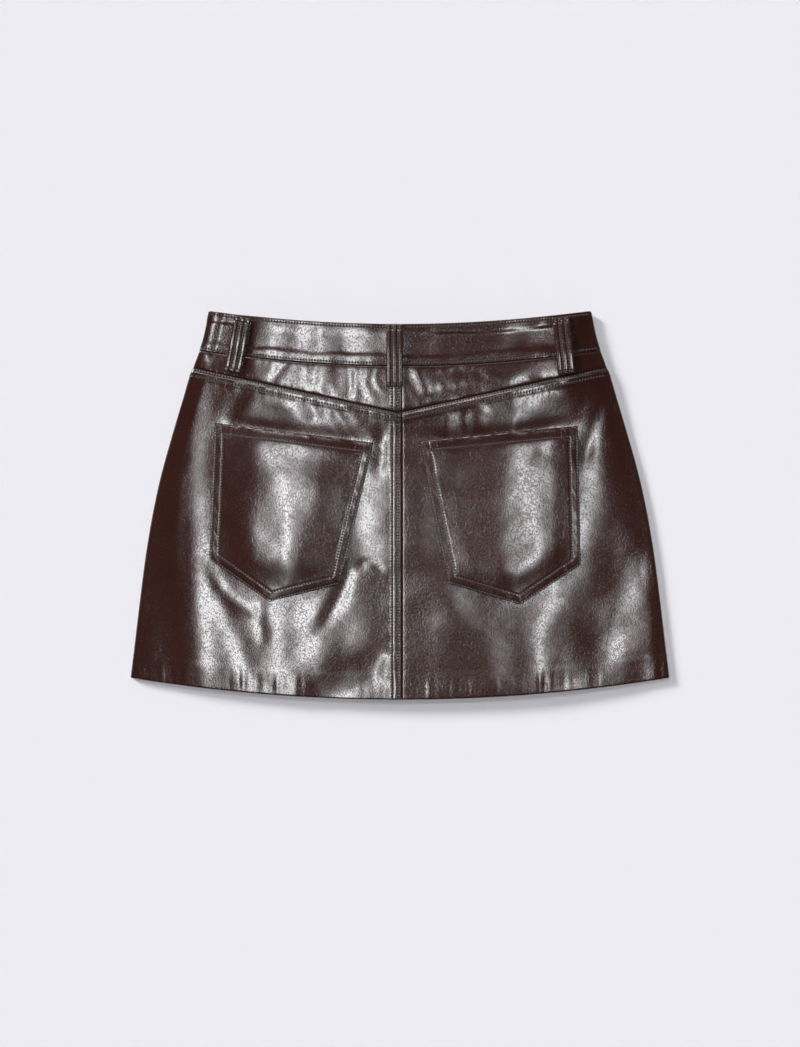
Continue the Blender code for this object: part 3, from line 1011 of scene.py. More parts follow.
@dataclass
class SidePanel:
    """What the pieces that reach a side fold share: how places on them are found."""

    cut: Cut
    drape: Drape
    shop: Workshop
    turn_steps: int = 9

    def grid_points(
        self, side: Side, inner_x: float, across: Array, depth: Array, turn: Array, rise: Array, upper: bool
    ) -> Array:
        """Places on a panel.

        Args:
            side: the panel's side.
            inner_x: where its inner edge lies.
            across: the distance of each place from the inner edge, no further than the side fold.
            depth: the level of each place.
            turn: the angle round the side fold.
            rise: how far the place stands off the panel's smooth face.
            upper: whether the panel lies on top.

        Returns:
            Points in millimetres.
        """
        cut, radius = self.cut, self.cut.fold_radius
        x = inner_x + side.value * across
        if upper:
            y = cut.plan_y(x, depth)
            centre = self.drape.height(x, y, depth) - radius
            z = centre + (radius + rise) * np.cos(turn)
        else:
            y = cut.plan_y(x, depth, "front_sag")
            z = cut.raised(depth) + radius - (radius + rise) * np.cos(turn)
        return np.stack([x + side.value * (radius + rise) * np.sin(turn), y, z], axis=-1)

    def grids(
        self, side: Side, inner_x: float, places: Sequence[Array], rise: Array, thick: float, upper: bool
    ) -> list[Array]:
        """A piece's shown, hidden and unstitched faces, from its places across, down and round the fold."""
        walls = rise, np.full_like(rise, -thick), np.zeros_like(rise)
        return [self.grid_points(side, inner_x, *places, wall, upper) for wall in walls]

    def with_turns(self, places: Array) -> tuple[Array, Array]:
        """Adds the columns round the side fold to a grid of places across.

        Args:
            places: the grid.

        Returns:
            The places and the angles.
        """
        last = math.acos(self.cut.seam_gap / 2 / self.cut.fold_radius)
        angles = last * np.arange(1, self.turn_steps + 1) / self.turn_steps
        places = np.concatenate([places, np.repeat(places[:, -1:], self.turn_steps, axis=1)], axis=1)
        turn = np.zeros_like(places)
        turn[:, -self.turn_steps :] = angles
        return places, turn

    def sew(
        self, group: str, side: Side, inner_x: float, across: Array, depth: Array, rise: Array, upper: bool
    ) -> None:
        """Remembers a row of stitches on a panel.

        Args:
            group: the piece of thread that it belongs to.
            side: the panel's side.
            inner_x: where its inner edge lies.
            across: the distance of each stitch from the inner edge.
            depth: the level of each stitch.
            rise: how far it stands off the panel's smooth face.
            upper: whether the panel lies on top.
        """
        turn = np.zeros_like(across)
        self.shop.stitch(group, self.grid_points(side, inner_x, across, depth, turn, rise, upper))


@dataclass
class SeamStyle:
    """The sewing beside the body's seams: where the rows of stitches run, and the doubled strips' relief."""

    rows: tuple[float, float] = (1.3, 6.7)
    centre_rows: tuple[float, float] = (2.8, 9.2)
    strip_end: tuple[float, float] = (7.4, 11.2)
    strip_height: float = 0.16
    strip_pillow: float = 0.08
    pillow_width: float = 2.6
    crest_slope: float = 0.25
    crest_start: float = 1.0
    crest_end: float = 3.7
    crest_fall: float = 32.0
    groove_depth: float = 0.04
    groove_width: float = 0.75
    thread_rise: float = 0.06
    pucker: float = 0.035
    pucker_pitch: float = 6.4
    second_pucker: float = 0.6
    second_pitch: float = 0.47
    tucked: float = 0.34
    tucked_reach: float = 1.2

    def strip(self, distance: Array, rows: tuple[float, float], crested: bool = False) -> Array:
        """The relief of a doubled strip along an edge.

        Args:
            distance: how far the places are from the edge.
            rows: where the two rows of stitches run.
            crested: whether the edge slopes up to a crest between the rows, which hides their grooves.

        Returns:
            The rise at each place.
        """
        raised = self.strip_height * (1.0 - smooth(*self.strip_end, distance))
        if not crested:
            pillow = self.strip_pillow * bell(distance - sum(rows) / 2, self.pillow_width)
            return raised + pillow + self.groove(distance, rows[0]) + self.groove(distance, rows[1])
        climb = self.crest_slope * (np.clip(distance, self.crest_start, self.crest_end) - self.crest_start)
        return raised + climb * (1.0 - smooth(self.crest_end, self.crest_fall, distance))

    def groove(self, distance: Array, at: float) -> Array:
        """The groove under a row of stitches."""
        return -self.groove_depth * bell(distance - at, self.groove_width)

    def puckers(self, along: Array, distance: Array, seed: int, reach: float = 6.0) -> Array:
        """Short uneven waves across a seam, which die out away from it.

        Args:
            along: how far along the seam the places are.
            distance: how far they are from the middle of the waves.
            seed: which waves.
            reach: how far from their middle the waves die out.

        Returns:
            The rise at each place.
        """
        fine = wander(along, self.pucker_pitch * self.second_pitch, seed + 1)
        waves = wander(along, self.pucker_pitch, seed) + self.second_pucker * fine
        return self.pucker * waves * bell(distance, reach)

    def tuck(self, distance: Array) -> Array:
        """How a piece dips where it goes under its neighbour's edge."""
        return -self.tucked * np.exp(-np.maximum(distance, 0.0) / self.tucked_reach)


@dataclass
class BackBody(SidePanel):
    """The yokes and the back panels, which share their columns so that they meet along the yoke seam."""

    style: SeamStyle = field(default_factory=SeamStyle)
    panel_width: float = 215.0
    panel_length: float = 235.0
    yoke_length: float = 30.0
    yoke_level: float = 70.0
    seam_reach: float = 12.5
    crest_marks: tuple[float, float] = (2.9, 3.7)
    edge_radius: float = 0.9
    edge_drop: float = 0.6
    pucker_reach: float = 9.0
    seam_pucker_at: float = 5.0
    centre_pucker_at: float = 6.0
    centre_tuck: float = 0.45
    calm_by_centre: tuple[float, float] = (-3.0, 9.0)
    centre_starts: tuple[float, float] = (4.0, 14.0)
    yoke_edge: float = 3.0
    yoke_radius: float = 0.5
    yoke_drop: float = 0.6
    yoke_top_reach: float = 5.0
    yoke_low_reach: float = 7.0
    hem_marks: tuple[float, ...] = (1.6, 22.5, 25.5)
    hem_end: tuple[float, float] = (21.0, 27.0)
    hem_step: float = 0.10
    hem_radius: float = 1.3
    hem_drop: float = 0.9
    hem_pucker: float = 0.10
    hem_pucker_at: float = 9.0
    hem_pucker_reach: float = 10.0
    hem_pitch: float = 4.6
    hem_stretch_pitch: float = 37.0
    hem_stretch: tuple[float, float] = (-0.9, 0.7)
    loop_end: float = 60.0
    above_seam: float = 3.0
    below_seam: float = 10.0
    above_hem: float = 1.5
    row_start: float = 1.0
    row_end_gap: float = 2.0

    def columns(self, side: Side, depth: Array) -> Array:
        """Distances of the columns from the centre back.

        Args:
            side: the pieces' side.
            depth: levels.

        Returns:
            One row of distances for each level.
        """
        rows = self.style.centre_rows if side is Side.LEFT else ()
        near = divide(edge_marks(rows, self.seam_reach), self.shop.cell)
        width = self.cut.fold_x(depth) - side.value * self.inner_x(side)
        far = np.array([0.0, self.shop.cell])
        return spread(near, self.shop.cells(self.panel_width), far, width)

    def inner_x(self, side: Side) -> float:
        """Where a piece's edge at the centre back lies."""
        return self.cut.centre_back_x + side.value * self.cut.seam_gap / 2

    def seam_levels(self, side: Side) -> Array:
        """The levels of the yoke seam.

        Args:
            side: the pieces' side.

        Returns:
            The seam's depth at each column.
        """
        reference = self.columns(side, np.array([self.yoke_level]))[0]
        depth = self.cut.yoke_depth(side.value * reference / reference[-1])
        return np.concatenate([depth, np.repeat(depth[-1:], self.turn_steps)])

    def centre_relief(self, side: Side, distance: Array, along: Array) -> Array:
        """The relief beside the centre back seam, which is felled to the left.

        Args:
            side: the piece's side.
            distance: how far the places are from the seam.
            along: how far along it they are.

        Returns:
            The rise at each place.
        """
        style = self.style
        waves = style.puckers(along, distance - self.centre_pucker_at, Wave.CENTRE_SEAM, self.pucker_reach)
        if side is Side.LEFT:
            return style.strip(distance, style.centre_rows) + waves
        return self.centre_tuck * style.tuck(distance) + waves

    def seam_puckers(self, side: Side, distance: Array, along: Array) -> Array:
        """The short waves on the strip under the yoke seam, from distances off the seam and along it."""
        seed = Wave.YOKE_SEAM + side.value
        return self.style.puckers(along, distance - self.seam_pucker_at, seed, self.pucker_reach)

    def build(self, side: Side) -> None:
        """Builds one side's yoke and back panel and remembers their stitches."""
        self.build_yoke(side)
        self.build_panel(side)

    def build_yoke(self, side: Side) -> None:
        """Builds a yoke, tucked under the waistband and the back panel.

        Args:
            side: the yoke's side.
        """
        cut, style = self.cut, self.style
        top = cut.waistband_depth + cut.seam_gap / 2
        low = self.seam_levels(side) - cut.seam_gap / 2
        marks = divide(edge_marks((), self.yoke_edge), self.shop.cell)
        depth = top + spread(marks, self.shop.cells(self.yoke_length), marks, low - top).T
        across, turn = self.with_turns(self.columns(side, depth[:, -1]))
        from_top, from_low = depth - top, low[None, :] - depth
        along = across + WAVES_START
        rise = style.tuck(from_top) + style.tuck(from_low)
        rise = rise + style.puckers(along, from_low, Wave.YOKE_LOW, self.yoke_low_reach)
        rise = rise + style.puckers(along, from_top, Wave.YOKE_TOP, self.yoke_top_reach)
        rise = rise + self.centre_relief(side, across, depth)
        edge = np.minimum(np.minimum(from_top, from_low), across)
        rise = rise + rolled(edge, self.yoke_radius, cut.leather * self.yoke_drop)
        grids = self.grids(side, self.inner_x(side), (across, depth, turn), rise, cut.leather, True)
        rests_on = ["leather_front_panel_" + side.word]
        self.shop.cloth("yoke_" + side.word, grids, True, rests_on, self.centre_rows(side, across, depth))
        self.sew_centre(side, self.loop_end, cut.yoke_depth_at_centre - self.above_seam)

    def centre_rows(self, side: Side, across: Array, depth: Array) -> list[SewnRow]:
        """The rows of stitches beside the centre back seam, of which the right side has none."""
        rows = self.style.centre_rows if side is Side.LEFT else ()
        return [SewnRow(depth, across - row) for row in rows]

    def sew_centre(self, side: Side, start: float, stop: float) -> None:
        """Remembers the rows of stitches beside the centre back seam, which the left side alone has.

        Args:
            side: the piece's side.
            start: the level at which they start.
            stop: the level at which they stop.
        """
        if side is Side.RIGHT:
            return
        level = stitch_places(start, stop)
        for row in self.style.centre_rows:
            across = np.full_like(level, row)
            rise = self.centre_relief(side, across, level) + self.style.thread_rise
            self.sew("centre_back", side, self.inner_x(side), across, level, rise, True)

    def build_panel(self, side: Side) -> None:
        """Builds a back panel, with a doubled strip under the yoke seam and a turned-up hem.

        Args:
            side: the panel's side.
        """
        cut, style = self.cut, self.style
        top = self.seam_levels(side) + cut.seam_gap / 2
        near = divide(edge_marks((*style.rows, *self.crest_marks), self.seam_reach), self.shop.cell)
        far = divide([*ROLL_MARKS, *self.hem_marks], self.shop.cell)
        depth = top + spread(near, self.shop.cells(self.panel_length), far, cut.length - top).T
        across, turn = self.with_turns(self.columns(side, depth[:, -1]))
        from_top, from_hem = depth - top[None, :], cut.length - depth
        along = across + WAVES_START
        calm = smooth(*self.calm_by_centre, across)
        rise = style.strip(from_top, style.rows, True) + self.seam_puckers(side, from_top, along) * calm
        rise = rise + self.hem_relief(side, along, from_hem)
        rise = rise + self.centre_relief(side, across, depth) * smooth(*self.centre_starts, from_top)
        drop = cut.leather + style.strip_height * self.edge_drop
        rise = rise + rolled(np.minimum(from_top, across), self.edge_radius, drop)
        rise = rise + rolled(from_hem, self.hem_radius, cut.leather * self.hem_drop)
        grids = self.grids(side, self.inner_x(side), (across, depth, turn), rise, cut.leather, True)
        rows = [SewnRow(across, depth - top - row) for row in style.rows]
        rows += self.centre_rows(side, across, depth)
        rests_on = ["leather_front_panel_" + side.word]
        self.shop.cloth("back_panel_" + side.word, grids, True, rests_on, rows)
        self.sew_seam(side, top)
        self.sew_centre(side, cut.yoke_depth_at_centre + self.below_seam, cut.length - self.above_hem)

    def hem_relief(self, side: Side, along: Array, from_hem: Array) -> Array:
        """The turned-up hem: a faint step where the allowance ends, and short upright puckers below it.

        Args:
            side: the panel's side.
            along: how far along the hem the places are.
            from_hem: how far above its edge they are.

        Returns:
            The rise at each place.
        """
        step = self.hem_step * (1.0 - smooth(*self.hem_end, from_hem))
        stretch = wander(along, self.hem_stretch_pitch, Wave.HEM_STRETCH + side.value)
        waves = wander(along, self.hem_pitch, Wave.HEM + side.value) * smooth(*self.hem_stretch, stretch)
        return step + self.hem_pucker * waves * bell(from_hem - self.hem_pucker_at, self.hem_pucker_reach)

    def sew_seam(self, side: Side, top: Array) -> None:
        """Remembers the two rows of stitches along the yoke seam.

        Args:
            side: the panel's side.
            top: the level of the panel's top edge at each column.
        """
        style = self.style
        for distance in style.rows:
            reference = self.columns(side, top[-1:] + distance)[0]
            across = stitch_places(self.row_start, reference[-1] - self.row_end_gap)
            level = np.interp(across, reference, top[: len(reference)]) + distance
            rise = style.strip(np.full_like(across, distance), style.rows, True)
            rise = rise + self.seam_puckers(side, distance, across + WAVES_START) + style.thread_rise
            self.sew("yoke_seam", side, self.inner_x(side), across, level, rise, True)


@dataclass
class FrontBody(SidePanel):
    """The two front panels, which lie flat on the surface, and the two halves of the front waistband."""

    style: SeamStyle = field(default_factory=SeamStyle)
    panel_width: float = 210.0
    panel_length: float = 290.0
    band_length: float = 30.0
    edge_reach: float = 5.0
    edge_radius: float = 0.8
    edge_drop: float = 0.8
    side_marks: tuple[float, float] = (0.0, 2.0)
    row: float = 2.4
    row_start: float = 4.0
    row_side_gap: float = 1.0
    row_end_gap: float = 2.0
    row_rise: float = -0.02

    def marks(self) -> Array:
        """The places that an edge and the row of stitches beside it need."""
        return divide(edge_marks((self.row,), self.edge_reach), self.shop.coarse_cell)

    def piece(self, side: Side, node: str, depth: Array, thick: float, rests_on: str) -> None:
        """Builds a front piece between levels.

        Args:
            side: its side.
            node: the solid that it stands for.
            depth: the levels of its rows.
            thick: the wall's thickness.
            rests_on: what it lies on.
        """
        inner_x = side.value * self.cut.seam_gap / 2
        width = self.cut.fold_x(depth) - side.value * inner_x
        cells = self.shop.cells(self.panel_width, fine=False)
        places = spread(self.marks(), cells, np.array(self.side_marks), width)
        across, turn = self.with_turns(places)
        level = np.repeat(depth[:, None], across.shape[1], axis=1)
        edge = np.minimum(np.minimum(level - depth[0], depth[-1] - level), across)
        grooves = self.style.groove(across, self.row) + self.style.groove(level - depth[0], self.row)
        rise = rolled(edge, self.edge_radius, thick * self.edge_drop) + grooves
        grids = self.grids(side, inner_x, (across, level, turn), rise, thick, False)
        self.shop.cloth(node, grids, False, [rests_on])
        along = stitch_places(self.row_start, places[0, -1] - self.row_side_gap)
        level = np.full_like(along, depth[0] + self.row)
        self.sew("front", side, inner_x, along, level, np.full_like(along, self.row_rise), False)
        level = stitch_places(depth[0] + self.row_start, depth[-1] - self.row_end_gap)
        along = np.full_like(level, self.row)
        self.sew("front", side, inner_x, along, level, np.full_like(along, self.row_rise), False)

    def build(self, side: Side) -> None:
        """Builds one side's front panel and half waistband.

        Args:
            side: the side.
        """
        cut, marks = self.cut, self.marks()
        seam = cut.waistband_depth
        total = np.array([cut.length - seam - cut.seam_gap / 2])
        cells = self.shop.cells(self.panel_length, fine=False)
        panel = cut.length - total + spread(marks, cells, marks, total)[0]
        self.piece(side, "front_panel_" + side.word, panel, cut.leather, "floor")
        cells = self.shop.cells(self.band_length, fine=False)
        band = spread(marks, cells, marks, np.array([seam - cut.seam_gap / 2]))[0]
        loop = "leather_belt_loop_front_" + side.word
        self.piece(side, "waistband_front_" + side.word, band, cut.waistband_thick, loop)


@dataclass
class Waistband(SidePanel):
    """The contoured back waistband, one band from side seam to side seam."""

    style: SeamStyle = field(default_factory=SeamStyle)
    half_width: float = 188.0
    height: float = 31.0
    edge_reach: float = 5.0
    edge_radius: float = 0.9
    edge_drop: float = 0.8
    top_row: float = 3.0
    low_row: float = 2.7
    row_start: float = 0.5
    row_end_gap: float = 1.0
    top_lip: float = 0.38
    top_lip_end: float = 10.2
    top_lip_slope: float = 2.6
    top_lip_sway: Sway = Sway(0.7, 19.0, Wave.BAND_TOP_LIP)
    top_end_sway: Sway = Sway(0.7, 27.0, Wave.BAND_FOLD)
    low_lip: float = 0.22
    low_lip_end: float = 9.8
    low_lip_slope: float = 2.3
    low_lip_sway: Sway = Sway(0.45, 17.0, Wave.BAND_LOW_LIP)
    low_end_sway: Sway = Sway(1.2, 31.0, Wave.BAND_CREASE)
    low_end_fine_sway: Sway = Sway(0.5, 9.0, Wave.BAND_FINE_CREASE)
    swell: Sway = Sway(0.12, 23.0, Wave.BAND_SWELL)
    swell_at: float = 20.0
    swell_reach: float = 14.0
    low_pucker_reach: float = 4.5
    top_pucker_reach: float = 3.5
    top_pucker: float = 0.7

    def relief(self, along: Array, from_top: Array, from_low: Array) -> Array:
        """The band's relief: a lip and a stitched row along each edge, and soft cushions between.

        Args:
            along: how far along the band the places are.
            from_top: how far they are from its top edge.
            from_low: how far they are from its low edge.

        Returns:
            The rise at each place.
        """
        style = self.style
        rise = style.groove(from_top, self.top_row) + style.groove(from_low, self.low_row)
        end = self.top_lip_end + self.top_end_sway.at(along)
        lip = self.top_lip * (1.0 + self.top_lip_sway.at(along))
        rise = rise + lip * (1.0 - smooth(end - self.top_lip_slope, end + self.top_lip_slope, from_top))
        end = self.low_lip_end + self.low_end_sway.at(along) + self.low_end_fine_sway.at(along)
        lip = self.low_lip * (1.0 + self.low_lip_sway.at(along))
        rise = rise + lip * (1.0 - smooth(end - self.low_lip_slope, end + self.low_lip_slope, from_low))
        rise = rise + style.puckers(along, from_low, Wave.BAND_LOW, self.low_pucker_reach)
        puckers = style.puckers(along, from_top, Wave.BAND_TOP, self.top_pucker_reach)
        rise = rise + self.top_pucker * puckers
        return rise + self.swell.at(along) * bell(from_top - self.swell_at, self.swell_reach)

    def build(self) -> None:
        """Builds the band and remembers its two rows of stitches."""
        cut = self.cut
        low = cut.waistband_depth - cut.seam_gap / 2
        near = divide(edge_marks((self.top_row,), self.edge_reach), self.shop.cell)
        far = divide(edge_marks((self.low_row,), self.edge_reach), self.shop.cell)
        level = spread(near, self.shop.cells(self.height), far, np.array([low]))[0]
        start = np.array([0.0, self.shop.cell])
        halves = []
        for side in Side:
            places = spread(start, self.shop.cells(self.half_width), start, cut.fold_x(level))
            across, turn = self.with_turns(places)
            depth = np.repeat(level[:, None], across.shape[1], axis=1)
            rise = self.relief(WAVES_START + side.value * across, depth, low - depth)
            edge = np.minimum(depth, low - depth)
            rise = rise + rolled(edge, self.edge_radius, cut.waistband_thick * self.edge_drop)
            grids = self.grids(side, 0.0, (across, depth, turn), rise, cut.waistband_thick, True)
            halves.append([*grids, side.value * across, depth])
            for row in (self.top_row, low - self.low_row):
                stop = cut.fold_x(np.array(row)) - self.row_end_gap
                stretch = stitch_places(self.row_start, stop)
                row_depth = np.full_like(stretch, row)
                row_rise = self.relief(WAVES_START + side.value * stretch, row_depth, low - row_depth)
                self.sew("waistband", side, 0.0, stretch, row_depth, row_rise + self.style.thread_rise, True)
        whole = [np.concatenate([left[:, :0:-1], right], axis=1) for left, right in zip(*halves)]
        *grids, along, depth = whole
        rows = [SewnRow(along, depth - self.top_row), SewnRow(along, low - depth - self.low_row)]
        below = ["leather_waistband_front_" + side.word for side in Side]
        self.shop.cloth("waistband_back", grids, True, below, rows)


class PocketPlan(NamedTuple):
    """A patch pocket's corners in plan, how far across its mouth its point lies, and how full it lies."""

    side: Side
    mouth_outer: Place
    mouth_inner: Place
    low_inner: Place
    point: Place
    low_outer: Place
    point_share: float
    pouch: float
    pouch_reach: float
    low_roll: float

    @property
    def corners(self) -> list[Array]:
        """The outline's corners, in order."""
        corners = self.mouth_outer, self.mouth_inner, self.low_inner, self.point, self.low_outer
        return [np.array(corner, float) for corner in corners]


@dataclass
class PatchPocket:
    """A home-plate patch pocket: a doubled rim between two rows of stitches, a hemmed mouth, corner boxes."""

    cut: Cut
    drape: Drape
    shop: Workshop
    plan: PocketPlan
    style: SeamStyle = field(default_factory=SeamStyle)
    laid_on: float = 0.3
    thick: float = 1.25
    width_reach: float = 11.5
    mouth_reach: float = 11.8
    middle_length: float = 130.0
    rim_slope: float = 0.04
    hem_slope: float = 0.06
    lip_slope: float = 0.19
    lip_width: float = 1.6
    lip_sway: Sway = Sway(0.6, 5.2, Wave.POCKET_LIP)
    lip_starts: tuple[float, float] = (2.0, 6.0)
    inner_groove: float = -0.10
    inner_groove_width: float = 0.8
    inner_groove_end: float = 0.5
    scallop: Sway = Sway(0.12, 6.5, Wave.POCKET_MOUTH)
    scallop_reach: float = 3.5
    pucker_slant: float = 0.6
    pucker_at: float = 5.0
    pucker_reach: float = 6.5
    edge_radius: float = 0.6
    edge_drop: float = 0.92
    outer_row: float = 1.6
    inner_row: float = 8.6
    mouth_row: float = 9.4
    row_slack: float = 0.3
    top_slack: float = 1.0
    row_top: float = 1.2
    corner_gap: float = 0.6
    tab_top: float = 1.4
    tab_width: float = 14.5
    tab_height: float = 12.5
    low_roll_at: float = 24.0
    low_roll_width: float = 18.0
    roll_reach: float = 62.0
    low_blend: float = 12.0

    def edge_distances(self, place: Array) -> list[Array]:
        """Measures from the mouth and from each of the sewn edges.

        Args:
            place: places in plan.

        Returns:
            For each edge, the distance of each place.
        """
        corners = self.plan.corners
        found = []
        for first, second in zip(corners, corners[1:] + corners[:1]):
            run, off = second - first, place - first
            found.append(np.abs(run[0] * off[..., 1] - run[1] * off[..., 0]) / np.hypot(*run))
        return found

    def runs(self) -> list[tuple[Array, Array, Array]]:
        """Finds how each edge runs.

        Returns:
            For each edge, its first corner, the way along it, and the way in from it.
        """
        corners = self.plan.corners
        centre = sum(corners) / len(corners)
        found = []
        for first, second in zip(corners, corners[1:] + corners[:1]):
            run = (second - first) / np.hypot(*(second - first))
            inward = np.array([-run[1], run[0]])
            found.append((first, run, inward if inward @ (centre - first) > 0 else -inward))
        return found

    def sewn_rows(self, place: Array) -> list[SewnRow]:
        """The rows of stitches as the pocket's places see them.

        Args:
            place: places in plan.

        Returns:
            The rows, each of which counts only along its own edge.
        """
        distances = self.edge_distances(place)
        rows = []
        for index, (first, run, _) in enumerate(self.runs()):
            along = (place - first) @ run
            others = np.minimum.reduce([d for other, d in enumerate(distances) if other not in (0, index)])
            if index == 0:
                beyond = others < self.outer_row - self.row_slack
                rows.append(SewnRow(along, np.abs(distances[0] - self.mouth_row) + FAR_FROM_SEWING * beyond))
                continue
            for row, top in ((self.outer_row, self.row_top), (self.inner_row, self.tab_height)):
                beyond = (others < row - self.row_slack) | (distances[0] < top - self.top_slack)
                rows.append(SewnRow(along, np.abs(distances[index] - row) + FAR_FROM_SEWING * beyond))
        return rows

    def pouched(self, place: Array) -> Array:
        """How full the pocket lies.

        Args:
            place: places in plan.

        Returns:
            How far each place stands off the panel between the sewn edges.
        """
        _, *sewn = self.edge_distances(place)
        from_low = np.exp(-sewn[1] / self.low_blend) + np.exp(-sewn[2] / self.low_blend)
        from_low = -self.low_blend * np.log(from_low)
        roll = self.plan.low_roll * bell(from_low - self.low_roll_at, self.low_roll_width)
        for distance in (sewn[0], sewn[3]):
            roll = roll * smooth(0.0, self.roll_reach, distance)
        flat = self.plan.pouch
        for distance in sewn:
            flat = flat * smooth(0.0, self.plan.pouch_reach, distance)
        return flat + roll

    def relief(self, place: Array) -> Array:
        """The relief of the pocket's face.

        Args:
            place: places in plan.

        Returns:
            The rise at each place above the flat middle.
        """
        style = self.style
        from_mouth, *sewn = self.edge_distances(place)
        from_sewn = np.minimum.reduce(sewn)
        across = place[..., 0] + POCKET_WAVES_START
        along = place[..., 0] + self.pucker_slant * place[..., 1] + POCKET_WAVES_START
        rise = self.rim_slope * np.minimum(np.minimum(sewn[1], sewn[2]), self.inner_row)
        rise = rise + self.hem_slope * np.minimum(from_mouth, self.mouth_row)
        lip = self.lip_slope * (self.lip_width - np.minimum(from_mouth, self.lip_width))
        rise = rise - lip * smooth(*self.lip_starts, from_sewn) * (1.0 + self.lip_sway.at(across))
        groove = self.inner_groove * bell(from_sewn - self.inner_row, self.inner_groove_width)
        rise = rise + style.groove(from_sewn, self.outer_row) + groove
        inner_row, end = self.inner_row, self.inner_groove_end
        inside = smooth(inner_row - end, inner_row + end, from_sewn)
        rise = rise + self.inner_groove * bell(from_mouth - self.mouth_row, self.inner_groove_width) * inside
        rise = rise + style.puckers(along, from_sewn - self.pucker_at, Wave.POCKET_RIM, self.pucker_reach)
        rise = rise + self.scallop.at(across) * bell(from_mouth, self.scallop_reach)
        edge = np.minimum(from_sewn, from_mouth)
        return rise + rolled(edge, self.edge_radius, self.thick * self.edge_drop)

    def grid(self) -> Array:
        """Lays a grid over the pocket: columns from the mouth down to the two edges that meet in the point.

        Returns:
            Places in plan.
        """
        mouth_outer, mouth_inner, low_inner, point, low_outer = self.plan.corners
        width = float(np.hypot(*(mouth_inner - mouth_outer)))
        marks = divide(edge_marks((self.outer_row, self.inner_row), self.width_reach), self.shop.cell)
        cells = self.shop.cells(width - 2 * self.width_reach)
        share = spread(marks, cells, marks, np.array([width]))[0] / width
        share[np.argmin(abs(share - self.plan.point_share))] = self.plan.point_share
        mouth = mouth_outer + share[:, None] * (mouth_inner - mouth_outer)
        first = np.clip(share / self.plan.point_share, 0.0, 1.0)[:, None]
        second = np.clip((share - self.plan.point_share) / (1.0 - self.plan.point_share), 0.0, 1.0)[:, None]
        low = low_outer + (point - low_outer) * first + (low_inner - point) * second
        length = np.hypot(*(low - mouth).T)
        near = divide(edge_marks((self.row_top, self.mouth_row), self.mouth_reach), self.shop.cell)
        down = spread(near, self.shop.cells(self.middle_length), marks, length).T / length
        return mouth[None] + down[..., None] * (low - mouth)[None]

    def raise_points(self, place: Array, rise: Array) -> Array:
        """Points over places in plan, at a rise above the panel that the pocket lies on."""
        base = self.drape.height_in_plan(place[..., 0], place[..., 1]) + self.pouched(place)
        return np.concatenate([place, (base + rise)[..., None]], axis=-1)

    def inset(self, distance: float, mouth: float) -> list[Array]:
        """Moves the outline in.

        Args:
            distance: how far in from the sewn edges.
            mouth: how far in from the mouth.

        Returns:
            The corners.
        """
        lines = []
        for index, (first, run, inward) in enumerate(self.runs()):
            lines.append((first + inward * (mouth if index == 0 else distance), run))
        found = []
        for (a, run_a), (b, run_b) in zip(lines[-1:] + lines[:-1], lines):
            step = np.linalg.solve(np.stack([run_a, -run_b], axis=1), b - a)[0]
            found.append(a + run_a * step)
        return found

    def row(self, places: Sequence[Array], edges: Sequence[int]) -> None:
        """Remembers a row of stitches.

        Args:
            places: the corners of the row in plan.
            edges: the edge of the pocket from which each of its stretches is measured.
        """
        runs = self.runs()
        points = []
        for first, second, edge in zip(places, places[1:], edges):
            corner, run, _ = runs[edge]
            start, stop = (first - corner) @ run, (second - corner) @ run
            along = stitch_places(min(start, stop) + self.corner_gap, max(start, stop) - self.corner_gap)
            points.append(first + (along[:, None] - start) * run)
        plan = np.concatenate(points)
        rise = self.laid_on + self.thick + self.relief(plan) + self.style.thread_rise
        self.shop.stitch("pocket_" + self.plan.side.word, self.raise_points(plan, rise))

    def build(self) -> None:
        """Builds the pocket and remembers its stitches."""
        place = self.grid()
        rise = self.laid_on + self.thick + self.relief(place)
        outer = self.raise_points(place, rise)
        inner = self.raise_points(place, np.full_like(rise, self.laid_on))
        word = self.plan.side.word
        rests_on = ["leather_back_panel_" + word]
        self.shop.cloth("back_pocket_" + word, (outer, inner, inner), True, rests_on, self.sewn_rows(place))
        for row, top in ((self.outer_row, self.row_top), (self.inner_row, self.tab_height)):
            corners = self.inset(row, top)
            self.row(corners[1:] + corners[:1], (1, 2, 3, 4))
        mouth = self.inset(self.outer_row, self.mouth_row)
        self.row([mouth[0], mouth[1]], (0,))
        self.tabs()

    def tabs(self) -> None:
        """Remembers the box of stitches that holds each corner of the mouth."""
        top, low = self.inset(self.outer_row, self.tab_top), self.inset(self.outer_row, self.tab_height)
        for corner, side_edge in ((0, 4), (1, 1)):
            run = (top[1 - corner] - top[corner]) / np.hypot(*(top[1 - corner] - top[corner]))
            far_top, far_low = (ends[corner] + run * self.tab_width for ends in (top, low))
            self.row([top[corner], far_top], (0,))
            self.row([low[corner], far_low], (0,))
            self.row([far_top, far_low], (side_edge,))


POCKETS = (
    PocketPlan(
        side=Side.LEFT,
        mouth_outer=(-177.1, 78.9),
        mouth_inner=(-25.3, 59.8),
        low_inner=(-57.1, -75.4),
        point=(-125.0, -92.0),
        low_outer=(-182.2, -51.6),
        point_share=0.46,
        pouch=0.85,
        pouch_reach=46.0,
        low_roll=0.5,
    ),
    PocketPlan(
        side=Side.RIGHT,
        mouth_outer=(169.9, 76.0),
        mouth_inner=(18.2, 61.6),
        low_inner=(46.1, -74.7),
        point=(115.0, -95.0),
        low_outer=(172.8, -56.9),
        point_share=0.46,
        pouch=0.4,
        pouch_reach=28.0,
        low_roll=0.9,
    ),
)


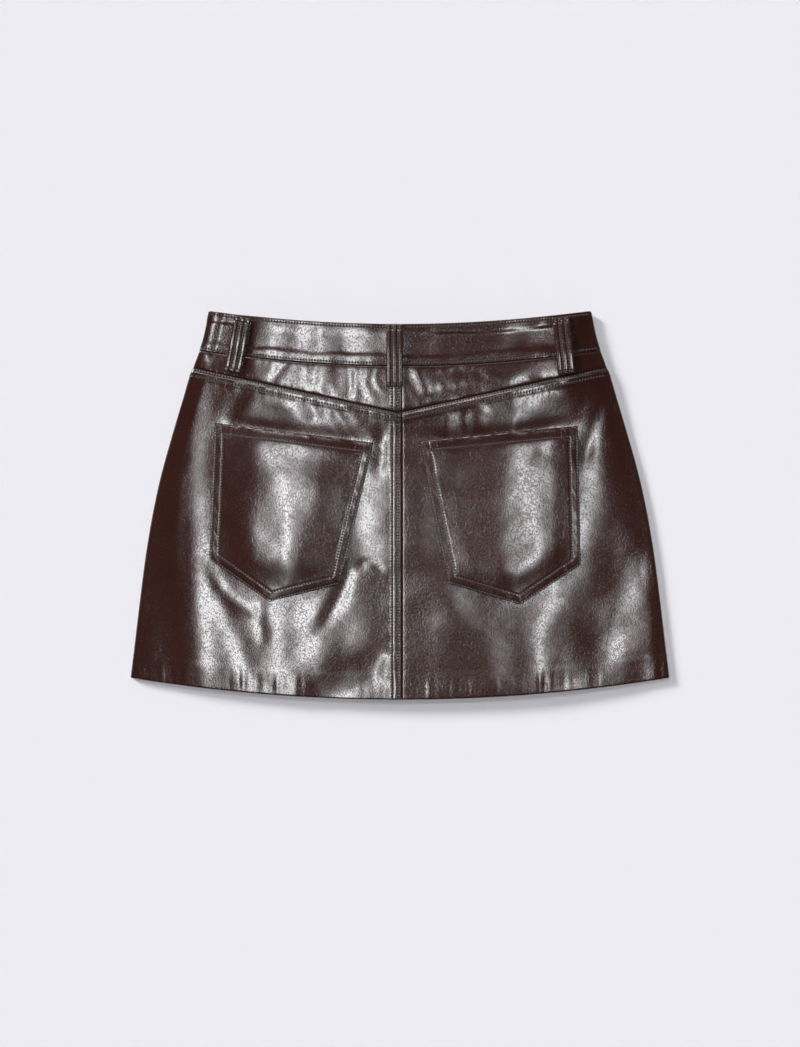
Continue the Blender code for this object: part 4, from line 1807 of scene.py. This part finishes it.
class LoopPlan(NamedTuple):
    """A belt loop's name and the middles of its two ends in plan."""

    word: str
    top: Place
    bottom: Place

    @property
    def length(self) -> float:
        """The loop's length."""
        return math.dist(self.top, self.bottom)

    def place(self, down: Array, across: Array) -> Array:
        """Places in plan.

        Args:
            down: how far down the loop they are.
            across: how far off its middle.

        Returns:
            The places.
        """
        run = (np.array(self.bottom) - np.array(self.top)) / self.length
        beside = np.array([-run[1], run[0]])
        return np.array(self.top) + down[..., None] * run + across[..., None] * beside


BACK_LOOPS = (
    LoopPlan("left", (-150.0, 179.4), (-160.2, 127.2)),
    LoopPlan("centre", (-5.1, 172.4), (-5.1, 112.6)),
    LoopPlan("right", (153.4, 179.2), (158.8, 125.3)),
)
FRONT_LOOPS = (
    LoopPlan("left", (-88.0, 163.0), (-92.0, 107.0)),
    LoopPlan("right", (88.0, 163.0), (92.0, 107.0)),
)


@dataclass
class BeltLoop:
    """A strip folded in three lengthways, so that two stitched grooves part three ridges."""

    drape: Drape
    shop: Workshop
    plan: LoopPlan
    width: float = 16.0
    thick: float = 2.2
    laid_on: float = 0.35
    arch: float = 0.9
    groove_at: float = 2.9
    groove_depth: float = 0.50
    groove_width: float = 0.8
    ridge_at: float = 5.4
    crown: float = 0.11
    tack_depth: float = 0.35
    tack_width: float = 0.7
    tack_half: float = 6.5
    tack_slant: float = 0.0001  # keeps the levels of a tack's stitches apart
    row_gap: float = 1.0
    end_line: float = 3.0
    top_line: float = 5.0
    edge_radius: float = 0.95
    edge_drop: float = 0.92
    end_reach: float = 6.5
    down_cell: float = 0.9
    across_cell: float = 0.45
    quick_across_cell: float = 0.8
    rests_at: tuple[float, ...] = (-7.5, -4.0, 0.0, 4.0, 7.5)
    style: SeamStyle = field(default_factory=SeamStyle)

    def relief(self, down: Array, across: Array) -> Array:
        """The relief of the strip's face: ridges, tacked ends and rolled edges.

        Args:
            down: how far down the strip the places are.
            across: how far off its middle they are.

        Returns:
            The rise at each place.
        """
        off, up, width, tack = abs(across), self.plan.length - down, self.groove_width, self.tack_width
        grooves = bell(across - self.groove_at, width) + bell(across + self.groove_at, width)
        from_ridge = np.where(off > self.groove_at, off - self.ridge_at, across)
        crowns = -self.crown * (from_ridge / self.groove_at) ** 2
        tacks = bell(down - self.top_line, tack) + bell(up - self.end_line, tack)
        edge = np.minimum(self.width / 2 - off, np.minimum(down, up))
        rise = -self.groove_depth * grooves + crowns - self.tack_depth * tacks
        return rise + rolled(edge, self.edge_radius, self.thick * self.edge_drop)

    def points(self, down: Array, across: Array, rise: Array) -> Array:
        """Points on the strip, which bridges what it lies on.

        Args:
            down: how far down the strip the places are.
            across: how far off its middle they are.
            rise: how far they stand above its lower face.

        Returns:
            Points in millimetres.
        """
        once = np.unique(down)
        lines = [self.plan.place(once, np.full_like(once, off)) for off in self.rests_at]
        below = np.stack([self.drape.height_in_plan(*line.T) for line in lines]).max(axis=0)
        arch = self.arch * np.sin(np.pi * np.clip(down / self.plan.length, 0.0, 1.0)) ** 2
        base = np.interp(down, once, below) + self.laid_on + arch
        return np.concatenate([self.plan.place(down, across), (base + rise)[..., None]], axis=-1)

    def build(self) -> None:
        """Builds the loop and remembers its stitches."""
        length = self.plan.length
        marks = divide(edge_marks((self.top_line,), self.end_reach), self.down_cell)
        down = spread(marks, self.shop.cells(length - 2 * self.end_reach), marks, np.array([length]))[0]
        cell = self.across_cell
        half = divide(edge_marks((), self.width / 2), cell)
        across = np.unique(np.round(np.concatenate([half - self.width / 2, self.width / 2 - half]), 4))
        grid_down, grid_across = np.meshgrid(down, across, indexing="ij")
        rise = self.thick + self.relief(grid_down, grid_across)
        outer = self.points(grid_down, grid_across, rise)
        inner = self.points(grid_down, grid_across, 0.0 * rise)
        lines = (-self.groove_at, self.groove_at)
        rows = [SewnRow(grid_down, grid_across - line) for line in lines]
        node = "belt_loop_back_" + self.plan.word
        self.shop.cloth(node, (outer, inner, inner), True, ["leather_waistband_back"], rows)
        for line in lines:
            down = stitch_places(self.row_gap, length - self.row_gap)
            self.row(down, np.full_like(down, line))
        across = stitch_places(-self.tack_half, self.tack_half)
        for level in (self.top_line, length - self.end_line):
            self.row(level + self.tack_slant * across, across)

    def row(self, down: Array, across: Array) -> None:
        """Remembers a row of stitches on the strip."""
        rise = self.thick + self.relief(down, across) + self.style.thread_rise
        self.shop.stitch("belt_loops", self.points(down, across, rise))


@dataclass
class FrontLoop:
    """A plain belt loop under the front waistband, pressed flat between it and the surface."""

    shop: Workshop
    plan: LoopPlan
    width: float = 16.0
    thick: float = 1.4
    cells_down: int = 20
    cells_across: int = 9
    edge_reach: float = 2.0
    edge_radius: float = 0.7
    edge_drop: float = 0.8
    ridge: float = 0.25
    ridge_at: float = 2.9
    ridge_width: float = 0.9

    def build(self) -> None:
        """Builds the loop."""
        length = self.plan.length
        marks = divide(edge_marks((), self.edge_reach), self.edge_reach / 2)
        down = spread(marks, self.cells_down, marks, np.array([length]))[0]
        across = spread(marks, self.cells_across, marks, np.array([self.width]))[0] - self.width / 2
        down, across = np.meshgrid(down, across, indexing="ij")
        edge = np.minimum(self.width / 2 - abs(across), np.minimum(down, length - down))
        at, width = self.ridge_at, self.ridge_width
        ridges = bell(across - at, width) + bell(across + at, width)
        lower = self.ridge * ridges - rolled(edge, self.edge_radius, self.thick * self.edge_drop)
        place = self.plan.place(down, across)
        outer = np.concatenate([place, lower[..., None]], axis=-1)
        inner = np.concatenate([place, np.full_like(lower, self.thick)[..., None]], axis=-1)
        self.shop.cloth("belt_loop_front_" + self.plan.word, (outer, inner, inner), False, ["floor"])


@dataclass
class WaistButton:
    """The button under the front waistband: a rimmed disc that faces the surface."""

    cut: Cut
    shop: Workshop
    x: float = -12.0
    depth: float = 20.0
    profile: tuple[Place, ...] = (
        *((0.0, 0.30), (4.6, 0.30), (5.2, 0.22), (5.6, 0.02), (6.4, 0.0), (7.6, 0.10)),
        *((8.3, 0.40), (8.5, 0.80), (8.2, 1.20), (7.4, 1.40), (0.0, 1.40)),
    )
    spokes: int = 48

    def build(self) -> None:
        """Turns the profile, as (radius, height) pairs, into the button."""
        y = float(self.cut.plan_y(np.array(self.x), np.array(self.depth), "front_sag"))
        rings = self.profile[1:-1]
        angles = 2 * np.pi * np.arange(self.spokes) / self.spokes
        ways = list(zip(np.cos(angles), np.sin(angles)))
        points = [[self.x + radius * c, y + radius * s, z] for radius, z in rings for c, s in ways]
        points += [[self.x, y, self.profile[0][1]], [self.x, y, self.profile[-1][1]]]
        faces = []
        for step in range(self.spokes):
            following = (step + 1) % self.spokes
            faces.append([len(points) - 2, following, step])
            for ring in range(len(rings) - 1):
                low, high = ring * self.spokes, (ring + 1) * self.spokes
                faces.append([low + step, low + following, high + following, high + step])
            last = (len(rings) - 1) * self.spokes
            faces.append([len(points) - 1, last + step, last + following])
        mesh = self.shop.mesh_of("waist_button", np.array(points), faces)
        piece = self.shop.place("metal_waist_button", mesh, self.shop.finishes.metal, "button_metal")
        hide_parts("waist_button")


# ---- sewing


@dataclass
class Stitching:
    """Lays one small stitch on each point of the rows that the pieces ask for."""

    shop: Workshop
    stitch_length: float = 1.7
    stitch_width: float = 1.1
    stitch_height: float = 0.5
    sway: float = 0.09
    seed: int = 7
    segments: int = 6
    rings: int = 5

    def tree(self) -> bpy.types.NodeTree:
        """Builds the Geometry Nodes that lay a stitch on each point of a curve.

        Returns:
            The tree.
        """
        tree = bpy.data.node_groups.new("rows_of_stitches", "GeometryNodeTree")
        face = tree.interface
        face.new_socket("Geometry", in_out="INPUT", socket_type="NodeSocketGeometry")
        for name in ("Stitch Length", "Stitch Width", "Stitch Height", "Sway"):
            face.new_socket(name, in_out="INPUT", socket_type="NodeSocketFloat")
        face.new_socket("Seed", in_out="INPUT", socket_type="NodeSocketInt")
        face.new_socket("Geometry", in_out="OUTPUT", socket_type="NodeSocketGeometry")
        graph = Graph(tree)
        sockets = graph.node("NodeGroupInput", {}, {}).outputs
        given = {socket.name: Value(graph, socket) for socket in sockets}
        places = graph.node("GeometryNodeCurveToPoints", {"mode": "EVALUATED"}, {"Curve": given["Geometry"]})
        way = Value(graph, places.outputs["Tangent"])
        turn = graph.value("FunctionNodeAlignRotationToVector", {"axis": "X"}, {"Vector": way})
        inputs = {2: given["Sway"] * -1.0, 3: given["Sway"], "Seed": given["Seed"]}
        chance = graph.value("FunctionNodeRandomValue", {}, inputs, 1)
        spin = graph.value("FunctionNodeAxisAngleToRotation", {}, {"Angle": chance})
        inputs = {"Rotation": turn, "Rotate By": spin}
        turn = graph.value("FunctionNodeRotateRotation", {"rotation_space": "LOCAL"}, inputs)
        inputs = {"Segments": self.segments, "Rings": self.rings, "Radius": 0.5}
        ball = graph.value("GeometryNodeMeshUVSphere", {}, inputs)
        inputs = {"X": given["Stitch Length"], "Y": given["Stitch Width"], "Z": given["Stitch Height"]}
        size = graph.value("ShaderNodeCombineXYZ", {}, inputs)
        ball = graph.value("GeometryNodeTransform", {}, {"Geometry": ball, "Scale": size})
        points = Value(graph, places.outputs["Points"])
        inputs = {"Points": points, "Instance": ball, "Rotation": turn}
        laid = graph.value("GeometryNodeInstanceOnPoints", {}, inputs)
        real = graph.value("GeometryNodeRealizeInstances", {}, {"Geometry": laid})
        soft = graph.value("GeometryNodeSetShadeSmooth", {}, {"Geometry": real})
        inputs = {"Geometry": soft, "Material": self.shop.finishes.thread}
        dyed = graph.value("GeometryNodeSetMaterial", {}, inputs)
        graph.node("NodeGroupOutput", {}, {"Geometry": dyed})
        return tree

    def build(self) -> None:
        """Makes one piece of thread for each group of rows."""
        tree = self.tree()
        sizes = {
            "Stitch Length": self.stitch_length * MM,
            "Stitch Width": self.stitch_width * MM,
            "Stitch Height": self.stitch_height * MM,
            "Sway": self.sway,
            "Seed": self.seed,
        }
        for group, rows in self.shop.rows_of_stitches.items():
            curve = bpy.data.curves.new("rows_" + group, "CURVE")
            curve.dimensions = "3D"
            for row in rows:
                spline = curve.splines.new("POLY")
                spline.points.add(len(row) - 1)
                spline.points.foreach_set("co", np.c_[row * MM, np.ones(len(row))].astype(np.float32).ravel())
            guide = bpy.data.objects.new("rows_" + group, curve)
            bpy.context.scene.collection.objects.link(guide)
            sewing = guide.modifiers.new("stitches", "NODES")
            sewing.node_group = tree
            for item in tree.interface.items_tree:
                if item.in_out == "INPUT" and item.name in sizes:
                    sewing[item.identifier] = sizes[item.name]
            graph = bpy.context.evaluated_depsgraph_get()
            mesh = bpy.data.meshes.new_from_object(guide.evaluated_get(graph))
            guide.modifiers.clear()
            bpy.data.objects.remove(guide)
            self.shop.place("stitching_" + group, mesh, self.shop.finishes.thread, "leather")


# ---- studio


class Panel(NamedTuple):
    """A soft panel of light overhead: its middle and half sizes as shares of its height, and its light."""

    across: float
    along: float
    half_width: float
    half_length: float
    light: float


@dataclass
class Studio:
    """The pale floor, the lights and the camera straight above. Lengths are in metres."""

    finishes: Finishes
    frame_height: float = 1.00512
    frame_centre: Place = (0.0, -0.0174)
    camera_height: float = 1.9
    sensor: float = 36.0
    floor_half: float = 3.0
    floor_drop: float = 0.0002
    ceiling_light: float = 0.03
    wall_light: float = 0.30
    ceiling_starts: tuple[float, float] = (0.75, 0.1)
    least_height: float = 0.01
    backdrop: float = 0.83
    tint: tuple[float, ...] = (0.97, 0.975, 1.0, 1.0)
    panels: tuple[Panel, ...] = (
        Panel(-0.085, 0.0075, 0.030, 0.12, 20.5),
        Panel(0.125, -0.01, 0.026, 0.085, 16.0),
        Panel(-0.30, 0.54, 0.34, 0.08, 14.0),
    )
    sun_direction: tuple[float, ...] = (0.66, -0.50, -0.31)
    sun_light: float = 4.2
    sun_width: float = 14.0

    def floor(self) -> None:
        """Lays the floor."""
        mesh = bpy.data.meshes.new("floor")
        reach = self.floor_half
        corners = [(-reach, -reach), (reach, -reach), (reach, reach), (-reach, reach)]
        mesh.from_pydata([(x, y, -self.floor_drop) for x, y in corners], [], [(0, 1, 2, 3)])
        mesh.materials.append(self.finishes.floor)
        plane = bpy.data.objects.new("floor", mesh)
        bpy.context.scene.collection.objects.link(plane)

    def camera(self) -> None:
        """Hangs the camera over the skirt, with the frame's full height in view."""
        data = bpy.data.cameras.new("camera")
        data.sensor_width = self.sensor
        data.lens = self.sensor * self.camera_height / self.frame_height
        data.clip_start, data.clip_end = 0.1, 20.0
        camera = bpy.data.objects.new("camera", data)
        camera.location = (*self.frame_centre, self.camera_height)
        bpy.context.scene.collection.objects.link(camera)
        bpy.context.scene.camera = camera

    def surroundings(self) -> bpy.types.World:
        """Builds dim surroundings with soft panels of light overhead, plain and pale to the camera.

        Returns:
            The surroundings.
        """
        graph = Graph(bpy.data.worlds.new("studio"))
        way = graph.value("ShaderNodeTexCoord", {}, {}, "Generated")
        parts = graph.node("ShaderNodeSeparateXYZ", {}, {0: way})
        across, along, up = (Value(graph, socket) for socket in parts.outputs)
        height = graph.value("ShaderNodeMath", {"operation": "MAXIMUM"}, {0: up, 1: self.least_height})
        across = graph.value("ShaderNodeMath", {"operation": "DIVIDE"}, {0: across, 1: height})
        along = graph.value("ShaderNodeMath", {"operation": "DIVIDE"}, {0: along, 1: height})
        light = graph.rise(*self.ceiling_starts, up) * (self.wall_light - self.ceiling_light)
        light = light + self.ceiling_light
        for panel in self.panels:
            aside = (across - panel.across) / panel.half_width
            ahead = (along - panel.along) / panel.half_length
            nearness = 1 + aside * aside
            light = light + panel.light / (nearness * nearness * (1 + ahead * ahead * ahead * ahead))
        seen = graph.value("ShaderNodeLightPath", {}, {}, "Is Camera Ray")
        shown = seen * self.backdrop + (1 - seen) * light
        return graph.finish(graph.value("ShaderNodeBackground", {}, {"Color": self.tint, "Strength": shown}))

    def low_sun(self) -> None:
        """Adds a broad low light from the upper left, which draws the soft shadow at the right and below."""
        data = bpy.data.lights.new("low_sun", "SUN")
        data.energy, data.angle = self.sun_light, math.radians(self.sun_width)
        lamp = bpy.data.objects.new("low_sun", data)
        lamp.rotation_euler = Vector(self.sun_direction).to_track_quat("-Z", "Y").to_euler()
        bpy.context.scene.collection.objects.link(lamp)

    def build(self) -> None:
        """Sets up the whole studio."""
        self.floor()
        self.camera()
        self.low_sun()
        bpy.context.scene.world = self.surroundings()
        bpy.context.scene.view_settings.view_transform = "Standard"


def main() -> None:
    """Builds the skirt's pieces in order, sews them, and sets up the studio."""
    logging.basicConfig(level=logging.INFO, format="%(name)s: %(message)s")
    finishes = Finishes()
    shop = Workshop(finishes)
    cut = Cut()
    drape = Drape(cut)
    studio = Studio(finishes)
    studio.build()
    front = FrontBody(cut, drape, shop)
    back = BackBody(cut, drape, shop)
    for loop in FRONT_LOOPS:
        FrontLoop(shop, loop).build()
    for side in Side:
        front.build(side)
        back.build(side)
    Waistband(cut, drape, shop).build()
    for plan in POCKETS:
        PatchPocket(cut, drape, shop, plan).build()
    for loop in BACK_LOOPS:
        BeltLoop(drape, shop, loop).build()
    WaistButton(cut, shop).build()
    Stitching(shop).build()


if __name__ == "__main__":
    main()
